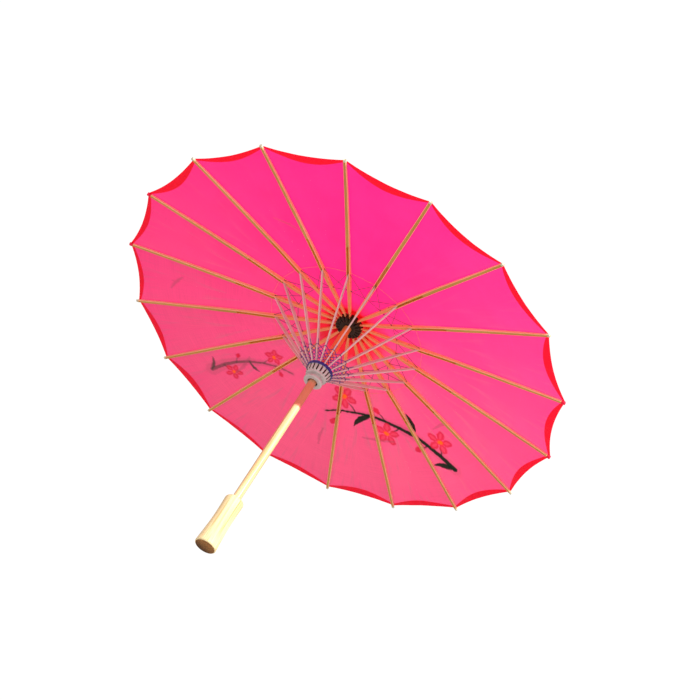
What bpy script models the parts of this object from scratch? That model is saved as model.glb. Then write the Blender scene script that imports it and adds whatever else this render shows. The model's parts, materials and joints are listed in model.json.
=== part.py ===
"""Oil paper umbrella: a bamboo-ribbed parasol with a wooden shaft, in metres, +Z up, modelled open.

The origin is the centre of the handle's flat end, and the shaft runs up the Z axis.
Each rib turns about the crown hub, each stretcher turns about its rib, and the runner slides
on the shaft.  Every rib carries one gore of the canopy, centred on it.
"""

import math

import bmesh
import bpy

# Driving dimensions, in metres
RIB_COUNT = 18
RIB_TIP_RADIUS = 0.420
RIM_HEIGHT = 0.462
HUB_PIVOT_RADIUS = 0.019
HUB_PIVOT_HEIGHT = 0.5232
RUNNER_PIVOT_RADIUS = 0.019
RUNNER_PIVOT_HEIGHT = 0.3998
JOINT_ALONG_RIB = 0.1256
RIB_BOW = 0.0023

SHAFT_RADIUS = 0.0072
FIT_GAP = 0.0003
THREAD_HOLE_RADIUS = 0.0006

HANDLE_LENGTH = 0.097
SHAFT_SEAT_HEIGHT = 0.012

HUB_RADIUS = 0.0244
HUB_HALF_HEIGHT = 0.0075
HUB_SLOT_WIDTH = 0.0030
HUB_SLOT_START = 0.0155
FINIAL_HEIGHT = 0.018
FINIAL_BORE_DEPTH = 0.0055

RUNNER_BORE_RADIUS = 0.0094
RUNNER_LOW = 0.3722
RUNNER_SLOT_FLOOR = 0.3870
RUNNER_SLOT_START = 0.0147
RUNNER_SLOT_WIDTH = 0.0028
RUNNER_TOP = 0.4040

RIB_SLOT_WIDTH = 0.0035
RIB_SLOT_ROOF = 0.0023
RIB_SLOT_BEFORE = 0.0076
RIB_SLOT_AFTER = 0.075
RIB_UNDERSIDE = 0.0016
RIB_TOP = 0.0036
RIB_TIP_TOP = 0.0024

GORE_THICKNESS = 0.0005
GORE_START = 0.0065
RIB_OVERHANG = 0.0035
RIM_SAG = 0.0083

CATCH_AZIMUTH = math.radians(220)
CATCH_PIVOT_RADIUS = 0.0032
CATCH_PIVOT_HEIGHT = 0.335
CATCH_TOP = 0.371
CATCH_REACH = 0.0115
CATCH_THICKNESS = 0.0016
CATCH_SLOT_WIDTH = 0.0022

TURNED_STEPS = 32
PITCH = 2 * math.pi / RIB_COUNT
HALF_PITCH = PITCH / 2

# Lengths and angles that follow from the driving dimensions
RIB_DROP = math.atan2(HUB_PIVOT_HEIGHT - RIM_HEIGHT, RIB_TIP_RADIUS - HUB_PIVOT_RADIUS)
RIB_LENGTH = math.hypot(HUB_PIVOT_HEIGHT - RIM_HEIGHT, RIB_TIP_RADIUS - HUB_PIVOT_RADIUS)


def rib_bow(along):
    """Height of the rib's curved centre line over its straight chord."""
    share = along / RIB_LENGTH
    return 4 * RIB_BOW * share * (1 - share)


def rib_top(along):
    """Height of the rib's upper face over its centre line: the rib thins towards its tip."""
    share = max(0.0, min(1.0, along / RIB_LENGTH))
    return RIB_TOP + (RIB_TIP_TOP - RIB_TOP) * share


def rib_point(along, height):
    """Radius and height above ground of a point of an open rib, given in the rib's own frame."""
    radius = HUB_PIVOT_RADIUS + along * math.cos(RIB_DROP) + height * math.sin(RIB_DROP)
    level = HUB_PIVOT_HEIGHT - along * math.sin(RIB_DROP) + height * math.cos(RIB_DROP)
    return radius, level


JOINT_RADIUS, JOINT_HEIGHT = rib_point(JOINT_ALONG_RIB, rib_bow(JOINT_ALONG_RIB))
STRETCHER_RUN = JOINT_RADIUS - RUNNER_PIVOT_RADIUS
STRETCHER_FALL = JOINT_HEIGHT - RUNNER_PIVOT_HEIGHT
STRETCHER_LENGTH = math.hypot(STRETCHER_RUN, STRETCHER_FALL)
STRETCHER_PITCH = math.atan2(STRETCHER_FALL, -STRETCHER_RUN)


def clear_scene():
    for old in list(bpy.data.objects):
        bpy.data.objects.remove(old, do_unlink=True)


def new_collection(name):
    group = bpy.data.collections.new(name)
    bpy.context.scene.collection.children.link(group)
    return group


def make_material(name, colour, roughness, metallic=0.0):
    material = bpy.data.materials.new(name)
    material.use_nodes = True
    shader = material.node_tree.nodes["Principled BSDF"]
    shader.inputs["Base Color"].default_value = (*colour, 1.0)
    shader.inputs["Roughness"].default_value = roughness
    shader.inputs["Metallic"].default_value = metallic
    return material


def add_object(name, data, group, material=None):
    piece = bpy.data.objects.new(name, data)
    group.objects.link(piece)
    if material and not data.materials:
        data.materials.append(material)
    return piece


def shade_round(mesh):
    mesh.shade_smooth()
    mesh.set_sharp_from_angle(angle=math.radians(35))


def turned_mesh(name, profile, group):
    """Solid of revolution about Z from (radius, height) points that run down its outer side."""
    outline = bpy.data.meshes.new(name + "_outline")
    points = [(radius, 0.0, height) for radius, height in profile]
    edges = [(i, i + 1) for i in range(len(points) - 1)]
    if profile[0] != profile[-1] and profile[0][0] > 0:
        edges.append((len(points) - 1, 0))
    outline.from_pydata(points, edges, [])
    blank = add_object(name + "_blank", outline, group)
    screw = blank.modifiers.new("turn", "SCREW")
    screw.steps = TURNED_STEPS
    screw.render_steps = TURNED_STEPS
    screw.use_merge_vertices = True
    screw.merge_threshold = 0.00005
    return take_mesh(name, blank)


def take_mesh(name, blank):
    """The evaluated, welded mesh of a helper object, which is then removed."""
    blank.update_tag()
    bpy.context.view_layer.update()
    evaluated = blank.evaluated_get(bpy.context.evaluated_depsgraph_get())
    mesh = bpy.data.meshes.new_from_object(evaluated)
    mesh.name = name
    work = bmesh.new()
    work.from_mesh(mesh)
    bmesh.ops.remove_doubles(work, verts=work.verts[:], dist=0.00002)
    work.to_mesh(mesh)
    work.free()
    bpy.data.objects.remove(blank, do_unlink=True)
    return mesh


def bar_mesh(name, stations):
    """A bar along +X through rectangles, each given as (along, width, bottom, top)."""
    work = bmesh.new()
    bmesh.ops.create_cube(work, size=1.0)
    first = stations[0][0]
    length = stations[-1][0] - first
    for vert in work.verts:
        vert.co.x = first + (vert.co.x + 0.5) * length
    for station in stations[1:-1]:
        everything = work.verts[:] + work.edges[:] + work.faces[:]
        bmesh.ops.bisect_plane(
            work, geom=everything, plane_co=(station[0], 0, 0), plane_no=(1, 0, 0)
        )
    for vert in work.verts:
        _, width, bottom, top = min(stations, key=lambda s: abs(s[0] - vert.co.x))
        vert.co.y = math.copysign(width / 2, vert.co.y)
        vert.co.z = top if vert.co.z > 0 else bottom
    mesh = bpy.data.meshes.new(name)
    work.to_mesh(mesh)
    work.free()
    return mesh


def box_cutter(name, low, high, group):
    """A wire-drawn box between two corners."""
    work = bmesh.new()
    bmesh.ops.create_cube(work, size=1.0)
    for vert in work.verts:
        vert.co = [a + (c + 0.5) * (b - a) for c, a, b in zip(vert.co, low, high)]
    mesh = bpy.data.meshes.new(name)
    work.to_mesh(mesh)
    work.free()
    return as_cutter(add_object(name, mesh, group))


def hole_cutter(name, along, height, group):
    """A thread hole across a bar: an eight-sided cylinder along Y."""
    mesh = bpy.data.meshes.new(name)
    work = bmesh.new()
    bmesh.ops.create_cone(
        work,
        cap_ends=True,
        segments=8,
        radius1=THREAD_HOLE_RADIUS,
        radius2=THREAD_HOLE_RADIUS,
        depth=0.02,
    )
    work.to_mesh(mesh)
    work.free()
    cutter = as_cutter(add_object(name, mesh, group))
    cutter.rotation_euler.x = math.pi / 2
    cutter.location = (along, 0, height)
    return cutter


def as_cutter(piece):
    piece.hide_render = True
    piece.display_type = "WIRE"
    return piece


def cut(piece, cutter):
    modifier = piece.modifiers.new(cutter.name, "BOOLEAN")
    modifier.operation = "DIFFERENCE"
    modifier.object = cutter


def cut_mesh(name, mesh, cutters, group):
    """The mesh with every cutter taken out of it, ready to be shared by repeated pieces."""
    blank = add_object(name + "_blank", mesh, group)
    for cutter in cutters:
        cut(blank, cutter)
    return take_mesh(name, blank)


def radial_slots(name, count, start, end, width, low, high, group):
    """One cutter object with a ring of box slots, each from start to end along its own radius."""
    work = bmesh.new()
    for index in range(count):
        made = bmesh.ops.create_cube(work, size=1.0)
        turn = -index * PITCH
        for vert in made["verts"]:
            along = start + (vert.co.x + 0.5) * (end - start)
            across = vert.co.y * width
            level = low + (vert.co.z + 0.5) * (high - low)
            vert.co = (
                along * math.cos(turn) - across * math.sin(turn),
                along * math.sin(turn) + across * math.cos(turn),
                level,
            )
    mesh = bpy.data.meshes.new(name)
    work.to_mesh(mesh)
    work.free()
    return as_cutter(add_object(name, mesh, group))


def arc(centre, radius, start, end, steps):
    """Points of a circular arc in the (radius, height) plane, angles in degrees."""
    points = []
    for step in range(steps + 1):
        turn = math.radians(start + (end - start) * step / steps)
        points.append((centre[0] + radius * math.cos(turn), centre[1] + radius * math.sin(turn)))
    return points


def make_shaft(parts, cutters, material):
    top = HUB_PIVOT_HEIGHT + HUB_HALF_HEIGHT + FINIAL_BORE_DEPTH
    edge = 0.0006
    profile = [
        (0.0, top),
        (SHAFT_RADIUS - edge, top),
        (SHAFT_RADIUS, top - edge),
        (SHAFT_RADIUS, CATCH_TOP + 0.02),
        (SHAFT_RADIUS, CATCH_PIVOT_HEIGHT - 0.02),
        (SHAFT_RADIUS, SHAFT_SEAT_HEIGHT + FIT_GAP + edge),
        (SHAFT_RADIUS - edge, SHAFT_SEAT_HEIGHT + FIT_GAP),
        (0.0, SHAFT_SEAT_HEIGHT + FIT_GAP),
    ]
    shaft = add_object("shaft", turned_mesh("shaft", profile, parts), parts, material)
    slot = box_cutter(
        "catch_slot",
        (0.0002, -CATCH_SLOT_WIDTH / 2, CATCH_PIVOT_HEIGHT - 0.0035),
        (0.02, CATCH_SLOT_WIDTH / 2, CATCH_TOP + 0.0008),
        cutters,
    )
    slot.rotation_euler.z = CATCH_AZIMUTH
    cut(shaft, slot)
    shade_round(shaft.data)


def make_catch_spring(parts, material):
    """The leaf that holds the runner up: a thin wedge, hinged low in its slot in the shaft."""
    curve = bpy.data.curves.new("catch_spring", "CURVE")
    curve.dimensions = "2D"
    curve.fill_mode = "BOTH"
    curve.extrude = CATCH_THICKNESS / 2
    rise = CATCH_TOP - CATCH_PIVOT_HEIGHT
    reach = CATCH_REACH - CATCH_PIVOT_RADIUS
    outline = [
        (0.0016, -0.0020),
        (reach, rise - 0.0030),
        (reach, rise),
        (reach - 0.0050, rise),
        (-0.0016, 0.0),
        (-0.0016, -0.0020),
    ]
    spline = curve.splines.new("POLY")
    spline.points.add(len(outline) - 1)
    for point, (along, level) in zip(spline.points, outline):
        point.co = (along, level, 0, 1)
    spline.use_cyclic_u = True
    mesh = take_mesh("catch_spring", add_object("catch_blank", curve, parts))
    leaf = add_object("catch_spring", mesh, parts, material)
    leaf.location = (
        CATCH_PIVOT_RADIUS * math.cos(CATCH_AZIMUTH),
        CATCH_PIVOT_RADIUS * math.sin(CATCH_AZIMUTH),
        CATCH_PIVOT_HEIGHT,
    )
    leaf.rotation_euler = (math.pi / 2, 0, CATCH_AZIMUTH)


def make_handle(parts, material):
    """A turned grip: flat flared end below, a slight waist, and a rounded shoulder above."""
    bore = SHAFT_RADIUS + FIT_GAP
    shoulder = 0.0055
    shoulder_radius = 0.0162
    waist_radius = 0.0154
    end_radius = 0.0182
    end_edge = 0.0025
    body = []
    for step in range(9):
        share = step / 8
        level = HANDLE_LENGTH - shoulder - share * (HANDLE_LENGTH - shoulder - end_edge)
        if share < 0.4:
            radius = shoulder_radius + (waist_radius - shoulder_radius) * share / 0.4
        else:
            radius = waist_radius + (end_radius - waist_radius) * ((share - 0.4) / 0.6) ** 1.5
        body.append((radius, level))
    centre = (shoulder_radius - shoulder, HANDLE_LENGTH - shoulder)
    profile = [(bore, HANDLE_LENGTH)]
    profile += arc(centre, shoulder, 90, 0, 4)[:-1]
    profile += body
    profile += arc((end_radius - end_edge, end_edge), end_edge, 0, -90, 3)[1:]
    profile += [
        (0.0, 0.0),
        (0.0, SHAFT_SEAT_HEIGHT),
        (bore, SHAFT_SEAT_HEIGHT),
    ]
    mesh = turned_mesh("handle", profile + [profile[0]], parts)
    shade_round(mesh)
    add_object("handle", mesh, parts, material)


def make_crown_hub(parts, cutters, material):
    """The toothed notch at the top of the shaft, with one slot for each rib."""
    low = HUB_PIVOT_HEIGHT - HUB_HALF_HEIGHT
    high = HUB_PIVOT_HEIGHT + HUB_HALF_HEIGHT
    bore = SHAFT_RADIUS + FIT_GAP
    edge = 0.001
    profile = [
        (bore, high),
        (HUB_RADIUS - edge, high),
        (HUB_RADIUS, high - edge),
        (HUB_RADIUS, low + edge),
        (HUB_RADIUS - edge, low),
        (bore, low),
    ]
    mesh = turned_mesh("crown_hub", profile + [profile[0]], parts)
    shade_round(mesh)
    hub = add_object("crown_hub", mesh, parts, material)
    slots = radial_slots(
        "hub_slots", RIB_COUNT, HUB_SLOT_START, 0.03, HUB_SLOT_WIDTH, low - 0.01, high + 0.01, cutters
    )
    cut(hub, slots)


def make_finial(parts, material):
    """The cap on top of the crown, glued over the shaft's end."""
    base = HUB_PIVOT_HEIGHT + HUB_HALF_HEIGHT + FIT_GAP
    top = base + FINIAL_HEIGHT
    bore = SHAFT_RADIUS + FIT_GAP
    bore_top = base + FINIAL_BORE_DEPTH
    profile = [(0.0, top)]
    profile += arc((0.0, top - 0.0075), 0.0075, 90, 15, 6)[1:]
    profile += [(0.0078, base + 0.0088), (0.0105, base + 0.0072)]
    profile += arc((0.0125, base + 0.0026), 0.0045, 60, 0, 3)
    profile += [(0.0170, base), (bore, base), (bore, bore_top), (0.0, bore_top)]
    mesh = turned_mesh("finial", profile, parts)
    shade_round(mesh)
    add_object("finial", mesh, parts, material)


def make_runner(parts, cutters, material):
    """The sliding runner: collar, neck, flange and a flared head with a slot per stretcher."""
    profile = [
        (RUNNER_BORE_RADIUS, RUNNER_TOP),
        (0.0225, RUNNER_TOP),
        (0.0236, RUNNER_TOP - 0.0012),
        (0.0230, RUNNER_PIVOT_HEIGHT - 0.0010),
        (0.0205, RUNNER_SLOT_FLOOR + 0.0008),
        (0.0189, RUNNER_SLOT_FLOOR),
        (0.0189, RUNNER_SLOT_FLOOR - 0.0030),
        (0.0175, RUNNER_SLOT_FLOOR - 0.0038),
        (0.0132, RUNNER_SLOT_FLOOR - 0.0046),
        (0.0125, RUNNER_LOW + 0.0075),
        (0.0132, RUNNER_LOW + 0.0052),
        (0.0165, RUNNER_LOW + 0.0045),
        (0.0173, RUNNER_LOW + 0.0037),
        (0.0173, RUNNER_LOW + 0.0008),
        (0.0165, RUNNER_LOW),
        (RUNNER_BORE_RADIUS, RUNNER_LOW),
    ]
    mesh = turned_mesh("runner", profile + [profile[0]], parts)
    shade_round(mesh)
    runner = add_object("runner", mesh, parts, material)
    slots = radial_slots(
        "runner_slots",
        RIB_COUNT,
        RUNNER_SLOT_START,
        0.03,
        RUNNER_SLOT_WIDTH,
        RUNNER_SLOT_FLOOR,
        RUNNER_TOP + 0.01,
        cutters,
    )
    cut(runner, slots)


def rib_stations():
    """Sections of a rib: a thin tongue in the hub, deepest round its joint, then a taper to the tip."""
    tongue = 0.0024
    stations = [
        (-0.0020, tongue, -0.0008, 0.0008),
        (-0.0014, tongue, -0.0016, 0.0016),
        (0.0, tongue, -0.0020, 0.0020),
        (0.0100, tongue, -RIB_UNDERSIDE, RIB_TOP - 0.0006),
    ]
    sections = [
        (0.0120, 0.0036, RIB_UNDERSIDE),
        (0.0300, 0.0054, 0.0019),
        (0.0700, 0.0062, 0.0029),
        (0.1050, 0.0064, 0.0044),
        (0.1310, 0.0066, 0.0046),
        (0.1500, 0.0068, 0.0039),
        (0.1790, 0.0068, 0.0031),
        (0.2300, 0.0066, 0.0026),
        (0.3200, 0.0060, 0.0021),
        (RIB_LENGTH, 0.0052, RIB_UNDERSIDE),
    ]
    for along, width, below in sections:
        middle = rib_bow(along)
        stations.append((along, width, middle - below, middle + rib_top(along)))
    return stations


def make_rib_mesh(parts, cutters):
    """One rib, slotted from below where the stretcher's end turns and folds away."""
    level = rib_bow(JOINT_ALONG_RIB)
    slot = box_cutter(
        "rib_slot",
        (JOINT_ALONG_RIB - RIB_SLOT_BEFORE, -RIB_SLOT_WIDTH / 2, -0.01),
        (JOINT_ALONG_RIB + RIB_SLOT_AFTER, RIB_SLOT_WIDTH / 2, level + RIB_SLOT_ROOF),
        cutters,
    )
    joint_hole = hole_cutter("rib_joint_hole", JOINT_ALONG_RIB, level, cutters)
    hub_hole = hole_cutter("rib_hub_hole", 0.0, 0.0, cutters)
    bar = bar_mesh("rib_bar", rib_stations())
    return cut_mesh("rib", bar, [slot, joint_hole, hub_hole], parts)


def make_stretcher_mesh(parts, cutters):
    """One stretcher from its rib joint, at the origin, to the runner."""
    length = STRETCHER_LENGTH
    stations = [
        (-0.0019, 0.0029, -0.0008, 0.0008),
        (-0.0012, 0.0029, -0.0015, 0.0015),
        (0.0, 0.0029, -0.0019, 0.0019),
        (0.0300, 0.0029, -0.0022, 0.0022),
        (0.0550, 0.0028, -0.0028, 0.0028),
        (length - 0.0300, 0.0025, -0.0028, 0.0028),
        (length - 0.0080, 0.0022, -0.0020, 0.0020),
        (length, 0.0022, -0.0019, 0.0019),
        (length + 0.0012, 0.0022, -0.0015, 0.0015),
        (length + 0.0019, 0.0022, -0.0008, 0.0008),
    ]
    upper = hole_cutter("stretcher_joint_hole", 0.0, 0.0, cutters)
    lower = hole_cutter("stretcher_runner_hole", length, 0.0, cutters)
    bar = bar_mesh("stretcher_bar", stations)
    return cut_mesh("stretcher", bar, [upper, lower], parts)


def gore_point(across, outward):
    """A point of the gore's underside, at azimuth 0 and measured from the hub pivot.

    across runs from -1 to 1 between the two seams and outward from 0 at the hub to 1 at the
    rim.  The cloth is straight from rib to rib, and its rim curves in between the tips.
    """
    turn = across * (HALF_PITCH - 0.0002 / RIB_TIP_RADIUS - 0.0002)
    share = abs(turn) / HALF_PITCH
    sag = RIM_SAG * (1 - (1 - share) ** 2)
    end = RIB_LENGTH - RIB_OVERHANG - sag
    along = GORE_START + (end - GORE_START) * outward
    height = rib_bow(along) + rib_top(along) + FIT_GAP
    radius, level = rib_point(along, height)
    radius *= math.cos(HALF_PITCH) / math.cos(HALF_PITCH - abs(turn))
    return (
        radius * math.cos(turn) - HUB_PIVOT_RADIUS,
        radius * math.sin(turn),
        level - HUB_PIVOT_HEIGHT,
    )


def make_gore_mesh(parts):
    """One gore of the canopy: a grid bent over its rib, then thickened upwards."""
    work = bmesh.new()
    bmesh.ops.create_grid(work, x_segments=6, y_segments=6, size=1.0)
    for vert in work.verts:
        vert.co = gore_point(vert.co.y, (vert.co.x + 1) / 2)
    mesh = bpy.data.meshes.new("gore_sheet")
    work.to_mesh(mesh)
    work.free()
    blank = add_object("gore_blank", mesh, parts)
    solidify = blank.modifiers.new("thickness", "SOLIDIFY")
    solidify.thickness = GORE_THICKNESS
    solidify.offset = 1.0
    return take_mesh("canopy_gore", blank)


def place_round_axis(piece, radius, height, azimuth, tilt=0.0):
    """Put a repeated piece's origin on its pivot, turned to face outward at its azimuth."""
    piece.location = (radius * math.cos(azimuth), radius * math.sin(azimuth), height)
    piece.rotation_euler = (0, tilt, azimuth)


def make_frame_and_canopy(parts, cutters, bamboo, cloth):
    """The repeated pieces: rib, stretcher and gore, once for each azimuth."""
    rib = make_rib_mesh(parts, cutters)
    stretcher = make_stretcher_mesh(parts, cutters)
    gore = make_gore_mesh(parts)
    for index in range(RIB_COUNT):
        azimuth = -index * PITCH
        piece = add_object(f"rib_{index:02d}", rib, parts, bamboo)
        place_round_axis(piece, HUB_PIVOT_RADIUS, HUB_PIVOT_HEIGHT, azimuth, RIB_DROP)
        piece = add_object(f"stretcher_{index:02d}", stretcher, parts, bamboo)
        place_round_axis(piece, JOINT_RADIUS, JOINT_HEIGHT, azimuth, STRETCHER_PITCH)
        piece = add_object(f"canopy_gore_{index:02d}", gore, parts, cloth)
        place_round_axis(piece, HUB_PIVOT_RADIUS, HUB_PIVOT_HEIGHT, azimuth)


def build_umbrella():
    clear_scene()
    parts = new_collection("oil_paper_umbrella")
    cutters = new_collection("cutters")
    pale_wood = make_material("pale_wood", (0.90, 0.72, 0.42), 0.45)
    hub_wood = make_material("hub_wood", (0.08, 0.04, 0.02), 0.60)
    runner_wood = make_material("runner_wood", (0.72, 0.55, 0.42), 0.55)
    bamboo = make_material("bamboo", (0.75, 0.45, 0.22), 0.50)
    cloth = make_material("pink_cloth", (1.0, 0.04, 0.26), 0.80)
    spring = make_material("catch_bamboo", (0.55, 0.38, 0.18), 0.50)
    make_shaft(parts, cutters, pale_wood)
    make_catch_spring(parts, spring)
    make_handle(parts, pale_wood)
    make_crown_hub(parts, cutters, hub_wood)
    make_finial(parts, pale_wood)
    make_runner(parts, cutters, runner_wood)
    make_frame_and_canopy(parts, cutters, bamboo, cloth)


build_umbrella()
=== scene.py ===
"""Looks of the oil paper umbrella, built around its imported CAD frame, in metres, +Z up.

Rib 0 points along +X, and rib k stands 20 degrees times k clockwise from it, seen from above.
Every rib carries a strip of cloth on its back and half of the cloth between it and each neighbour.
"""

import json
import math
import random

import bmesh
import bpy
import numpy as np
from mathutils import Matrix, Vector, noise


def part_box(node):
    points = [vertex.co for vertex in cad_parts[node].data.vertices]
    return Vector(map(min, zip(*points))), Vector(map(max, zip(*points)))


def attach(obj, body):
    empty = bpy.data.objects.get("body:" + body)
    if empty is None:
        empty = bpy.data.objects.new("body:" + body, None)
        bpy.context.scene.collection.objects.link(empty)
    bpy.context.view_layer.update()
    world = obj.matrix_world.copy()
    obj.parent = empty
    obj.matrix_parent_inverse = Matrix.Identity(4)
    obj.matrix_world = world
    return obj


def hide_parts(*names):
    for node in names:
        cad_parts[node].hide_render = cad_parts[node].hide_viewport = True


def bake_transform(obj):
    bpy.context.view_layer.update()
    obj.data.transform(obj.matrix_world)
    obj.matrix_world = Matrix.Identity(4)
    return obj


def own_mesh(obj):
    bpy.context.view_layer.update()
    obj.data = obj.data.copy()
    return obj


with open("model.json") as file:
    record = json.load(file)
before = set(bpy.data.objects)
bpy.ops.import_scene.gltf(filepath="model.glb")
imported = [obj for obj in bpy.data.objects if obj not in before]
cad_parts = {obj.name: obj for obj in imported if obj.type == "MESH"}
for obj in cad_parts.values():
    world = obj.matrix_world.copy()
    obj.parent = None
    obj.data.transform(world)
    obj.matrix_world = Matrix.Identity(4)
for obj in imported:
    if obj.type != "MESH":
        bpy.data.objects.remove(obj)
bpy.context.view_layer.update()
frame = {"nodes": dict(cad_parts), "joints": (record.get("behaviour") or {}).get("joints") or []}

# ---------------------------------------------------------------- sizes of the frame
JOINTS = {joint["name"]: joint for joint in frame["joints"]}
RIB_COUNT = sum(name.startswith("rib_hinge") for name in JOINTS)
PITCH = 2 * math.pi / RIB_COUNT
HALF_PITCH = PITCH / 2
SIN_HALF = math.sin(HALF_PITCH)
COS_HALF = math.cos(HALF_PITCH)

HUB_PIVOT_RADIUS, _, HUB_PIVOT_HEIGHT = JOINTS["rib_hinge_00"]["pos_m"]
ELBOW_RADIUS, _, ELBOW_HEIGHT = JOINTS["stretcher_hinge_00"]["pos_m"]
RIB_TIP_RADIUS = 0.420
RIM_HEIGHT = 0.462
RUNNER_PIVOT_RADIUS = 0.019
RUNNER_PIVOT_HEIGHT = 0.3998
ELBOW_ALONG = 0.1256
RIB_BOW = 0.0023
RIB_UNDERSIDE = 0.0016
RIB_TOP = 0.0036
RIB_TIP_TOP = 0.0024
RIB_OVERHANG = 0.0035
RIB_DROP = math.atan2(HUB_PIVOT_HEIGHT - RIM_HEIGHT, RIB_TIP_RADIUS - HUB_PIVOT_RADIUS)
RIB_LENGTH = math.hypot(HUB_PIVOT_HEIGHT - RIM_HEIGHT, RIB_TIP_RADIUS - HUB_PIVOT_RADIUS)
STRETCHER_RUN = ELBOW_RADIUS - RUNNER_PIVOT_RADIUS
STRETCHER_FALL = ELBOW_HEIGHT - RUNNER_PIVOT_HEIGHT
STRETCHER_LENGTH = math.hypot(STRETCHER_RUN, STRETCHER_FALL)
STRETCHER_PITCH = math.atan2(STRETCHER_FALL, -STRETCHER_RUN)
SHAFT_RADIUS = 0.0072
SHAFT_BORE = 0.0075
CATCH_AZIMUTH = math.radians(220)
CATCH_SLOT_WIDTH = 0.0022
CATCH_SLOT_LOW = 0.3315
CATCH_SLOT_TOP = 0.3726
HUB_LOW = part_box("crown_hub")[0].z
HUB_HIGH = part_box("crown_hub")[1].z
RUNNER_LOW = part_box("runner")[0].z
RUNNER_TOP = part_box("runner")[1].z
RUNNER_SLOT_FLOOR = 0.3870

# ---------------------------------------------------------------- sizes of the cloth
CLOTH_GAP = 0.0005
STRIP_REACH = 0.0034
CLOTH_START = 0.011
CLOTH_SAG = 0.0022
PATCH_START = 0.0145
PATCH_END = 0.024
PATCH_LIFT = 0.0006

SEED = 7


def rib_bow(along):
    share = along / RIB_LENGTH
    return 4 * RIB_BOW * share * (1 - share)


def rib_top(along):
    share = max(0.0, min(1.0, along / RIB_LENGTH))
    return RIB_TOP + (RIB_TIP_TOP - RIB_TOP) * share


def rib_point(along, height):
    radius = HUB_PIVOT_RADIUS + along * math.cos(RIB_DROP) + height * math.sin(RIB_DROP)
    level = HUB_PIVOT_HEIGHT - along * math.sin(RIB_DROP) + height * math.cos(RIB_DROP)
    return radius, level


def spin(index):
    """Turns a piece made at azimuth 0 to rib number index."""
    return Matrix.Rotation(-index * PITCH, 4, "Z")


RIB_PLACE = Matrix.Translation((HUB_PIVOT_RADIUS, 0, HUB_PIVOT_HEIGHT)) @ Matrix.Rotation(RIB_DROP, 4, "Y")
STRETCHER_PLACE = Matrix.Translation((ELBOW_RADIUS, 0, ELBOW_HEIGHT)) @ Matrix.Rotation(
    STRETCHER_PITCH, 4, "Y"
)


# ---------------------------------------------------------------- mesh helpers
def make_mesh(name, verts, faces):
    mesh = bpy.data.meshes.new(name)
    mesh.from_pydata([tuple(v) for v in verts], [], faces)
    mesh.validate()
    mesh.update()
    return mesh


def face_out(mesh):
    work = bmesh.new()
    work.from_mesh(mesh)
    bmesh.ops.recalc_face_normals(work, faces=work.faces[:])
    work.to_mesh(mesh)
    work.free()


def shade(mesh, angle=35):
    mesh.shade_smooth()
    if angle:
        mesh.set_sharp_from_angle(angle=math.radians(angle))


def add_piece(name, mesh, materials, place=None):
    mesh.name = name
    for material in materials:
        mesh.materials.append(material)
    piece = bpy.data.objects.new(name, mesh)
    bpy.context.scene.collection.objects.link(piece)
    if place is not None:
        piece.matrix_world = place
    return piece


def lathe(name, profile, steps=96):
    """A closed solid of revolution about Z from (radius, height) points."""
    verts = []
    rings = []
    for radius, height in profile:
        if radius < 1e-6:
            rings.append([len(verts)])
            verts.append((0, 0, height))
            continue
        rings.append(range(len(verts), len(verts) + steps))
        for step in range(steps):
            turn = 2 * math.pi * step / steps
            verts.append((radius * math.cos(turn), radius * math.sin(turn), height))
    pairs = list(zip(rings, rings[1:]))
    if profile[0][0] > 1e-6:
        pairs.append((rings[-1], rings[0]))
    faces = []
    for low, high in pairs:
        for step in range(steps):
            after = (step + 1) % steps
            corners = [low[step % len(low)], low[after % len(low)]]
            corners += [high[after % len(high)], high[step % len(high)]]
            face = list(dict.fromkeys(corners))
            if len(face) > 2:
                faces.append(face)
    mesh = make_mesh(name, verts, faces)
    face_out(mesh)
    return mesh


def evaluated(blank):
    """The mesh of a helper object with its modifiers, which is then removed."""
    bpy.context.view_layer.update()
    source = blank.evaluated_get(bpy.context.evaluated_depsgraph_get())
    mesh = bpy.data.meshes.new_from_object(source)
    bpy.data.objects.remove(blank, do_unlink=True)
    return mesh


def cut(mesh, cutter_mesh, bevel=0.0):
    """The mesh with the cutter taken out of it, and its edges softened."""
    blank = add_piece("blank", mesh, [])
    cutter = add_piece("cutter", cutter_mesh, [])
    boolean = blank.modifiers.new("cut", "BOOLEAN")
    boolean.operation = "DIFFERENCE"
    boolean.solver = "EXACT"
    boolean.object = cutter
    if bevel:
        soft = blank.modifiers.new("soft", "BEVEL")
        soft.width = bevel
        soft.segments = 2
        soft.limit_method = "ANGLE"
        soft.angle_limit = math.radians(50)
    result = evaluated(blank)
    bpy.data.objects.remove(cutter, do_unlink=True)
    return result


def boxes(name, corners):
    """Boxes given as (low corner, high corner, turn about Z), in one mesh."""
    work = bmesh.new()
    for low, high, turn in corners:
        for vert in bmesh.ops.create_cube(work, size=1.0)["verts"]:
            vert.co = [a + (c + 0.5) * (b - a) for c, a, b in zip(vert.co, low, high)]
            vert.co = Matrix.Rotation(turn, 3, "Z") @ vert.co
    mesh = bpy.data.meshes.new(name)
    work.to_mesh(mesh)
    work.free()
    return mesh


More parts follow.
